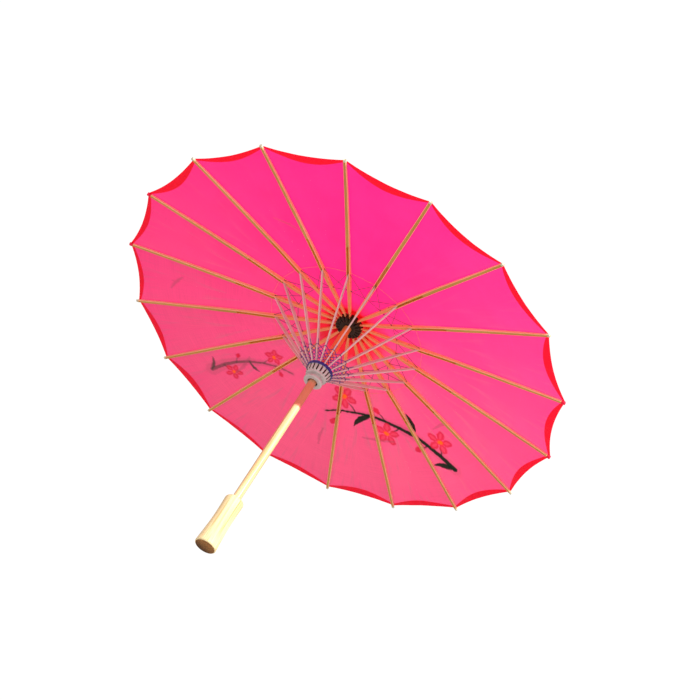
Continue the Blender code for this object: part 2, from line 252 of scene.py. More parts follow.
class Threads:
    """Thin round threads gathered into one mesh."""

    def __init__(self):
        self.verts = []
        self.faces = []

    def run(self, points, radius, sides=5, closed=False):
        """A tube through the points; radius is one number, or one for each point."""
        points = [Vector(p) for p in points]
        count = len(points)
        radii = radius if hasattr(radius, "__len__") else [radius] * count
        across = None
        first = len(self.verts)
        for i, point in enumerate(points):
            before = points[i - 1] if i or closed else point
            after = points[(i + 1) % count] if i + 1 < count or closed else point
            forward = (after - before).normalized()
            if across is None:
                across = forward.orthogonal().normalized()
            across = (across - forward * across.dot(forward)).normalized()
            other = forward.cross(across)
            for side in range(sides):
                turn = 2 * math.pi * side / sides
                offset = across * math.cos(turn) + other * math.sin(turn)
                self.verts.append(point + offset * radii[i])
        for i in range(count if closed else count - 1):
            low = first + i * sides
            high = first + ((i + 1) % count) * sides
            for side in range(sides):
                after = (side + 1) % sides
                self.faces.append((low + side, low + after, high + after, high + side))
        if not closed:
            self.faces.append(tuple(range(first, first + sides))[::-1])
            last = first + (count - 1) * sides
            self.faces.append(tuple(range(last, last + sides)))

    def line(self, start, end, radius, droop=0.0, steps=6, sides=5):
        start = Vector(start)
        end = Vector(end)
        points = []
        for step in range(steps + 1):
            share = step / steps
            point = start.lerp(end, share)
            point.z -= 4 * droop * share * (1 - share)
            points.append(point)
        self.run(points, radius, sides)

    def knot(self, centre, radius, along=(0, 1, 0)):
        """A small flattened bead."""
        centre = Vector(centre)
        along = Vector(along).normalized()
        shares = (-0.9, -0.5, 0.0, 0.5, 0.9)
        points = [centre + along * radius * 0.8 * share for share in shares]
        self.run(points, [radius * math.sqrt(1 - share * share) for share in shares], 8)

    def mesh(self, name):
        mesh = make_mesh(name, self.verts, self.faces)
        face_out(mesh)
        shade(mesh, 60)
        return mesh


# ---------------------------------------------------------------- material helpers
def node(tree, kind, inputs=None, **settings):
    """A new node, its sockets set to numbers or joined to other nodes' outputs."""
    made = tree.nodes.new(kind)
    for key, value in settings.items():
        setattr(made, key, value)
    for key, value in (inputs or {}).items():
        if isinstance(value, bpy.types.NodeSocket):
            tree.links.new(value, made.inputs[key])
        else:
            made.inputs[key].default_value = value
    return made


def new_material(name, roughness, **values):
    material = bpy.data.materials.new(name)
    material.use_nodes = True
    tree = material.node_tree
    shader = tree.nodes["Principled BSDF"]
    shader.inputs["Roughness"].default_value = roughness
    for key, value in values.items():
        shader.inputs[key.replace("_", " ")].default_value = value
    return material, tree, shader


def stretched(tree, place, scale):
    return node(tree, "ShaderNodeMapping", {"Vector": place, "Scale": scale}).outputs[0]


def speckle(tree, place, scale, detail=3.0, shift=None, rough=0.5):
    inputs = {"Vector": place, "Scale": scale, "Detail": detail, "Roughness": rough}
    dimensions = "3D"
    if shift is not None:
        inputs["W"] = shift
        dimensions = "4D"
    return node(tree, "ShaderNodeTexNoise", inputs, noise_dimensions=dimensions).outputs["Fac"]


def ramp(tree, factor, stops):
    made = node(tree, "ShaderNodeValToRGB", {"Fac": factor})
    elements = made.color_ramp.elements
    while len(elements) < len(stops):
        elements.new(0.5)
    for element, (position, colour) in zip(elements, stops):
        element.position = position
        element.color = (*colour, 1.0)
    return made.outputs["Color"]


def blend_colour(tree, factor, first, second, mode="MIX"):
    made = node(tree, "ShaderNodeMix", data_type="RGBA", blend_type=mode)
    for key, value in ((0, factor), (6, first), (7, second)):
        if isinstance(value, bpy.types.NodeSocket):
            tree.links.new(value, made.inputs[key])
        elif key == 0:
            made.inputs[key].default_value = value
        else:
            made.inputs[key].default_value = (*value, 1.0)
    return made.outputs[2]


def figure(tree, operation, first, second=0.0):
    made = node(tree, "ShaderNodeMath", {0: first, 1: second}, operation=operation)
    return made.outputs[0]


def dot_product(tree, first, second):
    made = node(tree, "ShaderNodeVectorMath", {0: first, 1: second}, operation="DOT_PRODUCT")
    return made.outputs["Value"]


def rescale(tree, value, low, high, to_low, to_high):
    inputs = {"Value": value, "From Min": low, "From Max": high, "To Min": to_low, "To Max": to_high}
    return node(tree, "ShaderNodeMapRange", inputs).outputs[0]


def object_place(tree):
    return node(tree, "ShaderNodeTexCoord").outputs["Object"]


def piece_shift(tree):
    """A number that differs from piece to piece, to shift their grain."""
    return figure(tree, "MULTIPLY", node(tree, "ShaderNodeObjectInfo").outputs["Random"], 9.0)


def add_bump(tree, shader, height, distance, strength=1.0):
    inputs = {"Height": height, "Distance": distance, "Strength": strength}
    bump = node(tree, "ShaderNodeBump", inputs).outputs[0]
    tree.links.new(bump, shader.inputs["Normal"])
    return bump


# ---------------------------------------------------------------- materials
def cloth_material(name, colour, pale, deep, through):
    """Dyed translucent cloth: a plain weave, uneven dye, paint where the piece has any, painted pale light
    with grey crease streaks on one side, and a painted red glow towards the crown.
    """
    material, tree, shader = new_material(name, 0.55, Sheen_Weight=0.05, Specular_IOR_Level=0.25)
    place = node(tree, "ShaderNodeAttribute", attribute_name="cloth_place").outputs["Vector"]
    paint = node(tree, "ShaderNodeAttribute", attribute_name="paint")
    # The share of painted pale light at each point of the cloth
    pale_light_here = node(tree, "ShaderNodeAttribute", attribute_name="pale_light_paint").outputs["Fac"]
    blotch = speckle(tree, place, 14.0, 4.0)
    dyed = blend_colour(tree, rescale(tree, blotch, 0.35, 0.7, 0.0, 0.55), colour, deep)
    clouds = rescale(tree, speckle(tree, place, 5.0, 3.0), 0.3, 0.7, 0.75, 1.1)
    # Painted pale light: the cloth turns paler on one side of the canopy
    dyed = blend_colour(tree, figure(tree, "MULTIPLY", pale_light_here, clouds), dyed, pale)
    # Grey crease streaks, shown only where the pale light is painted
    creases = speckle(tree, stretched(tree, place, (9, 60, 1)), 1.0, 3.0)
    crease = figure(tree, "MULTIPLY", rescale(tree, creases, 0.55, 0.73, 0.0, 0.65), pale_light_here)
    dyed = blend_colour(tree, crease, dyed, [0.62 * c + 0.06 for c in pale])
    # Painted red glow towards the crown, of light through the double-layer crown patch; it reaches less far
    # where the pale light is painted
    along = node(tree, "ShaderNodeSeparateXYZ", {0: place}).outputs["X"]
    ragged = figure(tree, "ADD", along, rescale(tree, speckle(tree, place, 90.0), 0.2, 0.8, -0.008, 0.008))
    ragged = figure(tree, "SUBTRACT", ragged, figure(tree, "MULTIPLY", pale_light_here, 0.030))
    dyed = blend_colour(tree, rescale(tree, ragged, 0.018, 0.052, 0.95, 0.0), dyed, CROWN_GLOW_RED)
    warp_slubs = speckle(tree, stretched(tree, place, (18, 1500, 1)), 1.0, 2.0)
    weft_slubs = speckle(tree, stretched(tree, place, (1500, 18, 1)), 1.0, 2.0)
    slubs = figure(tree, "ADD", warp_slubs, weft_slubs)
    thread_tone = rescale(tree, slubs, 0.7, 1.3, 0.90, 1.06)
    dyed = blend_colour(tree, 1.0, dyed, thread_tone, "MULTIPLY")
    painted = blend_colour(tree, paint.outputs["Alpha"], dyed, paint.outputs["Color"])
    tree.links.new(painted, shader.inputs["Base Color"])
    warp = node(tree, "ShaderNodeTexWave", {"Vector": place, "Scale": 420.0}, bands_direction="X")
    weft = node(tree, "ShaderNodeTexWave", {"Vector": place, "Scale": 420.0}, bands_direction="Y")
    weave = figure(tree, "ADD", warp.outputs["Fac"], weft.outputs["Fac"])
    relief = figure(tree, "ADD", figure(tree, "MULTIPLY", weave, 0.5), slubs)
    bump = add_bump(tree, shader, relief, 0.00012, 0.35)
    glow = node(tree, "ShaderNodeBsdfTranslucent", {"Color": painted, "Normal": bump})
    both = node(tree, "ShaderNodeMixShader", {0: through, 1: shader.outputs[0], 2: glow.outputs[0]})
    tree.links.new(both.outputs[0], tree.nodes["Material Output"].inputs["Surface"])
    return material


def grain_material(name, stops, along, roughness=0.5, streak=None, bump=0.00018, fine=900.0, length=16.0):
    """Bamboo or wood with fibres along one axis of the piece: 0 for X, 2 for Z."""
    material, tree, shader = new_material(name, roughness, Specular_IOR_Level=0.35)
    place = object_place(tree)
    shift = piece_shift(tree)
    scale = [fine, fine, fine]
    scale[along] = length
    broad = [90.0, 90.0, 90.0]
    broad[along] = 7.0
    fibres = speckle(tree, stretched(tree, place, scale), 1.0, 4.0, shift, 0.6)
    bands = speckle(tree, stretched(tree, place, broad), 1.0, 2.0, shift)
    tone = figure(tree, "ADD", figure(tree, "MULTIPLY", fibres, 0.55), figure(tree, "MULTIPLY", bands, 0.45))
    colour = ramp(tree, tone, stops)
    if streak:
        lines = [260.0, 260.0, 260.0]
        lines[along] = 4.0
        line = speckle(tree, stretched(tree, place, lines), 1.0, 1.0, shift)
        colour = blend_colour(tree, rescale(tree, line, 0.57, 0.70, 0.0, 0.8), colour, streak)
    pores = speckle(tree, stretched(tree, place, [s * 1.7 for s in scale]), 1.0, 2.0, shift)
    colour = blend_colour(
        tree, rescale(tree, pores, 0.62, 0.75, 0.0, 0.35), colour, [c * 0.5 for c in stops[0][1]]
    )
    tree.links.new(colour, shader.inputs["Base Color"])
    tree.links.new(
        rescale(tree, fibres, 0.3, 0.7, roughness - 0.08, roughness + 0.12), shader.inputs["Roughness"]
    )
    add_bump(tree, shader, fibres, bump, 0.6)
    return material


def wrap_material(name, colour, deep):
    """Glued cloth over a rib's end, matt and unevenly soaked."""
    material, tree, shader = new_material(name, 0.7, Specular_IOR_Level=0.2)
    place = object_place(tree)
    soaked = speckle(tree, place, 260.0, 3.0)
    tree.links.new(ramp(tree, soaked, [(0.35, deep), (0.65, colour)]), shader.inputs["Base Color"])
    weave = node(tree, "ShaderNodeTexWave", {"Vector": place, "Scale": 420.0}, bands_direction="X")
    add_bump(tree, shader, figure(tree, "ADD", weave.outputs["Fac"], soaked), 0.00012, 0.5)
    return material


def rib_material(name, stops, crown_glow_colour):
    """Split bamboo with a painted red glow on its inner end, near the hub, of light from the red crown."""
    material = grain_material(name, stops, 0)
    tree = material.node_tree
    shader = tree.nodes["Principled BSDF"]
    plain = shader.inputs["Base Color"].links[0].from_socket
    along = node(tree, "ShaderNodeSeparateXYZ", {0: object_place(tree)}).outputs["X"]
    # Painted red light, strongest at the inner end and gone further out
    colour = blend_colour(tree, rescale(tree, along, 0.08, 0.20, 0.95, 0.0), plain, crown_glow_colour)
    tree.links.new(colour, shader.inputs["Base Color"])
    return material


def shaft_material(name, stops):
    """Varnished wood, with a painted shadow of the canopy on its upper part and painted red light from the
    canopy higher still.
    """
    material = grain_material(name, stops, 2, 0.32, streak=(0.62, 0.30, 0.07), fine=700.0, length=12.0)
    tree = material.node_tree
    shader = tree.nodes["Principled BSDF"]
    shader.inputs["Coat Weight"].default_value = 0.5
    shader.inputs["Coat Roughness"].default_value = 0.25
    plain = shader.inputs["Base Color"].links[0].from_socket
    height = node(tree, "ShaderNodeSeparateXYZ", {0: object_place(tree)}).outputs["Z"]
    # Painted shadow of the canopy: darker red-brown above the key light's shadow line
    colour = blend_colour(tree, rescale(tree, height, 0.3085, 0.3115, 0.0, 0.9), plain, (0.66, 0.20, 0.10))
    # Painted red light from the canopy: orange higher up, towards the crown
    colour = blend_colour(tree, rescale(tree, height, 0.385, 0.425, 0.0, 0.9), colour, (0.95, 0.24, 0.06))
    tree.links.new(colour, shader.inputs["Base Color"])
    return material


# The side towards which painted shade darkens sawn ends
SHADED_SIDE = (-0.53, -0.85, 0.0)


def end_grain_material(name, pale, dark):
    """Growth rings and fibre ends of a sawn end, with painted shade that darkens it towards one edge."""
    material, tree, shader = new_material(name, 0.7, Specular_IOR_Level=0.2)
    place = object_place(tree)
    shifted = node(tree, "ShaderNodeMapping", {"Vector": place, "Location": (0.006, -0.004, 0)}).outputs[0]
    rings = node(
        tree,
        "ShaderNodeTexWave",
        {"Vector": shifted, "Scale": 120.0, "Distortion": 3.5, "Detail": 3.0, "Detail Scale": 2.0},
        wave_type="RINGS",
        rings_direction="Z",
    ).outputs["Fac"]
    ends = speckle(tree, place, 1600.0, 2.0)
    blots = speckle(tree, place, 120.0, 3.0)
    tone = figure(tree, "ADD", figure(tree, "MULTIPLY", rings, 0.4), figure(tree, "MULTIPLY", ends, 0.3))
    tone = figure(tree, "ADD", tone, figure(tree, "MULTIPLY", blots, 0.45))
    plain = ramp(tree, tone, [(0.35, dark), (0.8, pale)])
    # Painted shade, darker towards one edge of the end
    across = dot_product(tree, place, SHADED_SIDE)
    painted_shade = rescale(tree, across, -0.008, 0.012, 0.0, 0.9)
    shaded = blend_colour(tree, painted_shade, plain, [c * 0.5 for c in dark])
    tree.links.new(shaded, shader.inputs["Base Color"])
    add_bump(tree, shader, ends, 0.0002, 0.6)
    return material


def thread_material(name, colour, light):
    """Twisted spun thread."""
    material, tree, shader = new_material(name, 0.75, Sheen_Weight=0.3)
    place = object_place(tree)
    wave = {"Vector": place, "Scale": 260.0, "Distortion": 1.0}
    twist = node(tree, "ShaderNodeTexWave", wave, bands_direction="DIAGONAL").outputs["Fac"]
    fuzz = speckle(tree, place, 1800.0, 2.0)
    tone = figure(tree, "ADD", figure(tree, "MULTIPLY", twist, 0.5), figure(tree, "MULTIPLY", fuzz, 0.5))
    tree.links.new(ramp(tree, tone, [(0.25, colour), (0.85, light)]), shader.inputs["Base Color"])
    add_bump(tree, shader, tone, 0.0001, 0.8)
    return material


# For each cloth, the second colour is its tone under the painted pale light
PINK = (0.95, 0.018, 0.200)
PINK_PAINTED_LIGHT = (0.90, 0.092, 0.205)
PINK_DEEP = (0.93, 0.010, 0.170)
# Colour of the painted red glow towards the crown
CROWN_GLOW_RED = (0.86, 0.013, 0.026)
HEM_RED = (0.98, 0.007, 0.055)
HEM_PAINTED_LIGHT = (0.95, 0.012, 0.060)
HEM_DEEP = (0.90, 0.004, 0.032)
PATCH_RED = (0.90, 0.02, 0.045)
PATCH_PAINTED_LIGHT = (0.90, 0.04, 0.06)
PATCH_DEEP = (0.75, 0.010, 0.02)


def tones(dark, middle, light, top=0.72):
    """Ramp stops for grain, from its darkest fibres to its lightest."""
    return [(0.3, dark), (0.5, middle), (top, light)]


MATERIALS = {
    "cloth": cloth_material("pink_cloth_woven", PINK, PINK_PAINTED_LIGHT, PINK_DEEP, 0.62),
    "hem": cloth_material("hem_cloth_woven", HEM_RED, HEM_PAINTED_LIGHT, HEM_DEEP, 0.55),
    "patch": cloth_material("patch_cloth_woven", PATCH_RED, PATCH_PAINTED_LIGHT, PATCH_DEEP, 0.5),
    "wrap": wrap_material("wrap_cloth_glued", (0.95, 0.012, 0.06), (0.72, 0.008, 0.03)),
    # The last colour of each rib material is its painted red glow near the hub
    "rib_side": rib_material(
        "rib_bamboo_side",
        tones((0.86, 0.36, 0.17), (0.95, 0.46, 0.25), (0.97, 0.58, 0.35)),
        (1.0, 0.33, 0.15),
    ),
    # Faces underneath take a darker, browner copy of the bamboo, as painted shade
    "rib_shaded_under": rib_material(
        "rib_bamboo_under_painted_shade",
        tones((0.42, 0.17, 0.025), (0.56, 0.25, 0.042), (0.68, 0.34, 0.075)),
        (1.0, 0.28, 0.10),
    ),
    "rib_end": end_grain_material("rib_bamboo_end", (0.86, 0.78, 0.62), (0.45, 0.36, 0.24)),
    "rib_slot": grain_material(
        "rib_bamboo_slot", tones((0.70, 0.22, 0.03), (0.88, 0.34, 0.06), (0.95, 0.46, 0.10)), 0
    ),
    "stretcher": grain_material(
        "stretcher_bamboo_split", tones((0.56, 0.28, 0.28), (0.74, 0.42, 0.42), (0.88, 0.62, 0.61)), 0
    ),
    "shaft": shaft_material(
        "shaft_wood", tones((0.56, 0.31, 0.10), (0.80, 0.56, 0.26), (0.93, 0.80, 0.52), 0.70)
    ),
    "handle": grain_material(
        "handle_wood",
        [(0.28, (0.60, 0.36, 0.13)), (0.5, (0.84, 0.65, 0.35)), (0.72, (0.94, 0.85, 0.58))],
        2,
        streak=(0.62, 0.34, 0.10),
        fine=380.0,
        length=9.0,
    ),
    "handle_end": end_grain_material("handle_wood_end", (0.46, 0.20, 0.055), (0.13, 0.05, 0.014)),
    # The hub is made near black as painted shade under the crown
    "hub": grain_material(
        "hub_wood_painted_shade",
        tones((0.012, 0.004, 0.002), (0.030, 0.011, 0.004), (0.080, 0.030, 0.010), 0.75),
        2,
        0.75,
    ),
    "runner": grain_material(
        "runner_wood_turned", tones((0.44, 0.35, 0.33), (0.58, 0.49, 0.47), (0.72, 0.64, 0.62), 0.75), 2
    ),
    # Dark brown for the runner's slots and bore, as painted shade in these recesses
    "runner_slot": grain_material(
        "runner_slot_painted_shade", tones((0.10, 0.05, 0.035), (0.20, 0.11, 0.08), (0.32, 0.2, 0.15), 0.75), 2
    ),
    "catch": grain_material(
        "catch_bamboo_leaf", tones((0.40, 0.24, 0.10), (0.58, 0.38, 0.18), (0.72, 0.52, 0.28)), 2
    ),
    "indigo": thread_material("indigo_thread_spun", (0.012, 0.002, 0.12), (0.04, 0.010, 0.29)),
    "lacing": thread_material("lacing_thread_spun", (0.035, 0.004, 0.17), (0.10, 0.016, 0.34)),
    "net": thread_material("net_thread_spun", (0.040, 0.003, 0.045), (0.13, 0.014, 0.11)),
    "ring": thread_material("ring_thread_spun", (0.85, 0.12, 0.08), (0.98, 0.26, 0.16)),
}


# ---------------------------------------------------------------- cloth
# How far the rim curves in at the middle of a gap, and how wide its folded hem is
RIM_SAG_LEAST = 0.0045
RIM_SAG_MOST = 0.0085
HEM_AT_RIB = 0.0045
HEM_LEAST = 0.009
HEM_MOST = 0.017
HEM_SKEW = 0.2

# The azimuth where the cloth gets no painted pale light, across from where it gets the most
FULL_COLOUR_SIDE = math.radians(25)

# The ribs whose ends are wrapped in cloth, right out to the tip
WRAPPED_TIPS = (2, 3, 12, 13)


def hand_varied(gap, kind, low, high):
    """A size that the maker's hand varied from gap to gap, drawn for one kind of size."""
    return random.Random(1000 * SEED + 100 * kind + gap).uniform(low, high)


def rim_sag(gap):
    return hand_varied(gap, 1, RIM_SAG_LEAST, RIM_SAG_MOST)


def cloth_place(along, reach, side, lift):
    """A point of the cloth at azimuth 0: along the rib, then reach out towards a neighbour."""
    radius, level = rib_point(along, rib_bow(along) + rib_top(along) + CLOTH_GAP + lift)
    return Vector((radius - reach * SIN_HALF, side * reach * COS_HALF, level))


def full_reach(along):
    """How far from the rib the middle between two ribs is."""
    radius, _ = rib_point(along, rib_bow(along) + rib_top(along) + CLOTH_GAP)
    return radius * SIN_HALF


FULL_RIM_REACH = full_reach(RIB_LENGTH - RIB_OVERHANG)


def rim_along(reach_at_rim, index, gap):
    """Where the cloth ends: its rim curves in between the rib tips."""
    share = min(1.0, reach_at_rim / FULL_RIM_REACH)
    middle = RIB_LENGTH - RIB_OVERHANG - rim_sag(gap)
    tip = RIB_LENGTH - (0.0008 if index in WRAPPED_TIPS else RIB_OVERHANG)
    return middle + (tip - middle) * (1 - share) ** 2


def gap_beside(index, side):
    """The number of the gap on one side of a rib: gap g lies between ribs g and g + 1."""
    return index if side < 0 else (index - 1) % RIB_COUNT


def hem_width(gap, side, across):
    """The hem's width at a share of the way from a rib to the middle of a gap."""
    place = max(0.0, across) / 2 if side > 0 else 1 - max(0.0, across) / 2
    skew = hand_varied(gap, 3, 1 - HEM_SKEW, 1 + HEM_SKEW)
    widest = hand_varied(gap, 2, HEM_LEAST, HEM_MOST)
    return HEM_AT_RIB + (widest - HEM_AT_RIB) * max(0.0, math.sin(math.pi * place**skew))


def reach_between(along, across):
    """The reach at a share of the way from the strip's edge to the middle between two ribs."""
    return STRIP_REACH + (full_reach(along) - STRIP_REACH) * across


def slack(place, along, across):
    """How far the cloth hangs in and ripples between two ribs, nothing at the ribs."""
    hold = 1 - (1 - across) ** 2
    size = along / RIB_LENGTH
    ripple = noise.noise(Vector((place.x * 26, place.y * 26, 3.0)))
    ripple += 0.5 * noise.noise(Vector((place.x * 70, place.y * 70, 9.0)))
    return -hold * size * (CLOTH_SAG + 0.0005 * ripple)


def pale_light_share(point):
    """How much pale light is painted on the cloth at a place: most on the side across from the full-colour
    side.
    """
    return 0.5 - 0.5 * math.cos(math.atan2(point.y, point.x) - FULL_COLOUR_SIDE)


def grid_piece(name, rows, columns, place, materials, flip=False):
    """A sheet through place(row, column), which gives a point and its place in the flat cloth."""
    verts = []
    flat = []
    for row in rows:
        for column in columns:
            point, lies = place(row, column)
            verts.append(point)
            flat.append(lies)
    faces = []
    width = len(columns)
    for i in range(len(rows) - 1):
        for j in range(width - 1):
            a = i * width + j
            face = (a, a + 1, a + width + 1, a + width)
            faces.append(face[::-1] if flip else face)
    mesh = make_mesh(name, verts, faces)
    lies_at = mesh.attributes.new("cloth_place", "FLOAT_VECTOR", "POINT")
    lies_at.data.foreach_set("vector", np.array(flat, np.float32).ravel())
    paint = mesh.attributes.new("paint", "FLOAT_COLOR", "POINT")
    paint.data.foreach_set("color", np.zeros(4 * len(verts), np.float32))
    # Share of painted pale light at each point of the sheet
    pale_light_paint = mesh.attributes.new("pale_light_paint", "FLOAT", "POINT")
    pale_light_paint.data.foreach_set("value", [pale_light_share(vert) for vert in verts])
    shade(mesh, None)
    return add_piece(name, mesh, materials)


def spaced(start, end, step):
    count = max(1, round((end - start) / step))
    return [start + (end - start) * i / count for i in range(count + 1)]


def half_gore(index, side, letter, painted):
    """The cloth from one rib to the middle between it and a neighbour."""
    turn = spin(index)
    gap = gap_beside(index, side)

    def place(outward_share, across):
        start_reach = reach_between(CLOTH_START, across)
        end = rim_along(reach_between(RIB_LENGTH - RIB_OVERHANG, across), index, gap)
        along = CLOTH_START + (end - CLOTH_START) * outward_share
        reach = reach_between(along, across)
        point = turn @ cloth_place(along, reach, side, 0.0)
        point.z += slack(point, along, across)
        return point, (along, side * reach, start_reach)

    if painted:
        rows = spaced(0.0, painted[0], 0.02)[:-1]
        rows += spaced(painted[0], painted[1], painted[2] / RIB_LENGTH)
        rows += spaced(painted[1], 1.0, 0.02)[1:]
        columns = spaced(0.0, 1.0, painted[2] / 0.055)
    else:
        rows = spaced(0.0, 1.0, 0.018)
        columns = spaced(0.0, 1.0, 0.11)
    name = f"canopy_{index:02d}_{letter}"
    return grid_piece(name, rows, columns, place, [MATERIALS["cloth"]], flip=side < 0)


def half_trim(index, side, letter):
    """The folded hem under the rim and the crown patch over the cloth, on one side of a rib."""
    turn = spin(index)
    gap = gap_beside(index, side)
    flat_rim = RIB_LENGTH - RIB_OVERHANG

    def hem_place(inward, across):
        end = rim_along(reach_between(flat_rim, across), index, gap)
        along = end - inward * hem_width(gap, side, across)
        reach = reach_between(along, across)
        point = turn @ cloth_place(along, reach, side, 0.0)
        rounded = math.sin(math.pi * min(1.0, inward * 1.2) / 2)
        fold = 0.0001 + 0.0008 * rounded * (1 - (1 - max(0, across)) ** 3)
        point.z += slack(point, along, across) - fold
        return point, (0.7 * along, side * reach, 0.3)

    def patch_place(along_share, across):
        along = PATCH_START + (PATCH_END - PATCH_START) * along_share
        reach = reach_between(along, across)
        point = turn @ cloth_place(along, reach, side, PATCH_LIFT)
        point.z += slack(point, along, across)
        return point, (along, side * reach, 0.6)

    hem = grid_piece(
        f"hem_{index:02d}_{letter}",
        [0.0, 0.08, 0.3, 0.55, 0.8, 1.0],
        [-0.018] + spaced(0.0, 1.0, 0.045),
        hem_place,
        [MATERIALS["hem"]],
        flip=side > 0,
    )
    patch = grid_piece(
        f"crown_patch_{index:02d}_{letter}",
        spaced(0.0, 1.0, 0.15),
        spaced(0.0, 1.0, 0.2),
        patch_place,
        [MATERIALS["patch"]],
        flip=side < 0,
    )
    return hem, patch


def strip(index):
    """The cloth glued along a rib's back."""
    turn = spin(index)

    def place(outward_share, across):
        end = rim_along(abs(across) * STRIP_REACH, index, gap_beside(index, across))
        along = CLOTH_START + (end - CLOTH_START) * outward_share
        reach = abs(across) * STRIP_REACH
        side = math.copysign(1, across)
        point = turn @ cloth_place(along, reach, side, 0.0)
        return point, (along, side * reach, 0.0)

    name = f"rib_strip_{index:02d}"
    columns = [-1.0, -0.5, 0.0, 0.5, 1.0]
    return grid_piece(name, spaced(0.0, 1.0, 0.02), columns, place, [MATERIALS["cloth"]])


def patch_strip(index):
    turn = spin(index)

    def place(along_share, across):
        along = PATCH_START + (PATCH_END - PATCH_START) * along_share
        reach = abs(across) * STRIP_REACH
        point = turn @ cloth_place(along, reach, math.copysign(1, across), PATCH_LIFT)
        return point, (along, across * STRIP_REACH, 0.6)

    columns = [-1.0, -0.5, 0.0, 0.5, 1.0]
    name = f"crown_strip_{index:02d}"
    return grid_piece(name, spaced(0.0, 1.0, 0.15), columns, place, [MATERIALS["patch"]])


def tip_wrap(index):
    """The cloth folded round and glued over a rib's end."""
    sections = []
    for along, width, proud in (
        (RIB_LENGTH - 0.0062, 0.0057, 0.0002),
        (RIB_LENGTH - 0.0050, 0.0060, 0.0004),
        (RIB_LENGTH - 0.0020, 0.0060, 0.0005),
        (RIB_LENGTH - 0.0002, 0.0056, 0.0004),
        (RIB_LENGTH + 0.0004, 0.0044, -0.0002),
    ):
        low = rib_bow(min(along, RIB_LENGTH)) - RIB_UNDERSIDE - proud
        high = rib_bow(min(along, RIB_LENGTH)) + rib_top(along) + proud
        sections.append((along, width, low, high, 0))
    mesh = bar("tip_wrap", sections, 0.0009)
    shade(mesh, 60)
    return add_piece(f"tip_wrap_{index:02d}", mesh, [MATERIALS["wrap"]], spin(index) @ RIB_PLACE)


SKIRT_INNER = 0.0166
SKIRT_FLAT = 0.0250
SKIRT_INNER_HEIGHT = HUB_HIGH + 0.0006


def crown_skirt(index):
    """One sector of the crown patch, from under the finial, over the hub's edge, to its rib."""
    turn = spin(index)
    outer_radius, outer_level = rib_point(
        PATCH_START + 0.001, rib_bow(PATCH_START) + rib_top(PATCH_START) + CLOTH_GAP + PATCH_LIFT + 0.0001
    )

    def place(share, across):
        radius = SKIRT_INNER + (outer_radius - SKIRT_INNER) * share
        level = SKIRT_INNER_HEIGHT
        if radius > SKIRT_FLAT:
            fall = (radius - SKIRT_FLAT) / (outer_radius - SKIRT_FLAT)
            level += (outer_level - SKIRT_INNER_HEIGHT) * fall**1.3
        reach = abs(across) * radius * SIN_HALF
        point = Vector((radius - reach * SIN_HALF, math.copysign(1, across) * reach * COS_HALF, level))
        return turn @ point, (radius, across * radius * SIN_HALF, 0.6)

    columns = [-1.0, -0.66, -0.33, 0.0, 0.33, 0.66, 1.0]
    name = f"crown_skirt_{index:02d}"
    piece = grid_piece(name, spaced(0.0, 1.0, 0.08), columns, place, [MATERIALS["patch"]])
    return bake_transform(piece)


# ---------------------------------------------------------------- painting
INK = (0.002, 0.012, 0.005)
DARK_WASH = (0.055, 0.040, 0.035)
GREY_WASH = (0.34, 0.060, 0.095)
CRIMSON = (0.66, 0.006, 0.030)
SCARLET = (0.88, 0.02, 0.03)
PETAL_INSIDE = (0.93, 0.075, 0.150)
ORANGE = (0.95, 0.12, 0.005)
PETAL_COUNT = 5
STEM_ROOT = 2.8
STEM_TIP = 0.8
BRUSH = 1.55
INK_BRUSH = 2.0
INK_COVER = 0.99


def plan_point(azimuth, radius):
    """A point of the open canopy's plan, in millimetres, from degrees and a radius."""
    turn = math.radians(azimuth)
    return radius * math.cos(turn), radius * math.sin(turn)


def away(place, heading, length):
    return place[0] + length * math.cos(heading), place[1] + length * math.sin(heading)


def bowed(start, end, bow, widths):
    """Points from start to end, bowed to one side by bow times the length, with half widths."""
    run = end[0] - start[0]
    rise = end[1] - start[1]
    points = []
    for number, width in enumerate(widths):
        share = number / (len(widths) - 1)
        out = 4 * bow * share * (1 - share)
        points.append((start[0] + run * share - rise * out, start[1] + rise * share + run * out, width))
    return points


def flower(place, size, turn):
    """Five petals with paler insides round a scarlet heart and an orange middle."""
    strokes = []
    for number in range(PETAL_COUNT):
        heading = turn + number * 2 * math.pi / PETAL_COUNT
        near = away(place, heading, 0.40 * size)
        far = away(place, heading, 0.84 * size)
        petal = (0.13 * size, 0.22 * size, 0.17 * size)
        inside = (0.05 * size, 0.09 * size, 0.06 * size)
        strokes.append((CRIMSON, 0.85, 3.0, bowed(near, far, 0.0, petal)))
        strokes.append((PETAL_INSIDE, 0.40, 2.4, bowed(near, far, 0.0, inside)))
    middle = away(place, turn, 0.12 * size)
    strokes.append((SCARLET, 0.75, 3.0, bowed(place, middle, 0.0, (0.18 * size, 0.18 * size))))
    strokes.append((ORANGE, 0.95, 1.8, bowed(place, middle, 0.0, (0.11 * size, 0.11 * size))))
    return strokes


def leaf(place, heading, length, tint):
    widths = [share * length for share in (0.015, 0.050, 0.065, 0.045, 0.010)]
    return [(tint, 0.92, 1.8, bowed(place, away(place, heading, length), 0.10, widths))]


def bud(place, heading, size):
    tip = away(place, heading, 0.40 * size)
    return [(CRIMSON, 0.90, 2.2, bowed(place, tip, 0.0, (0.12 * size, 0.17 * size, 0.08 * size)))]


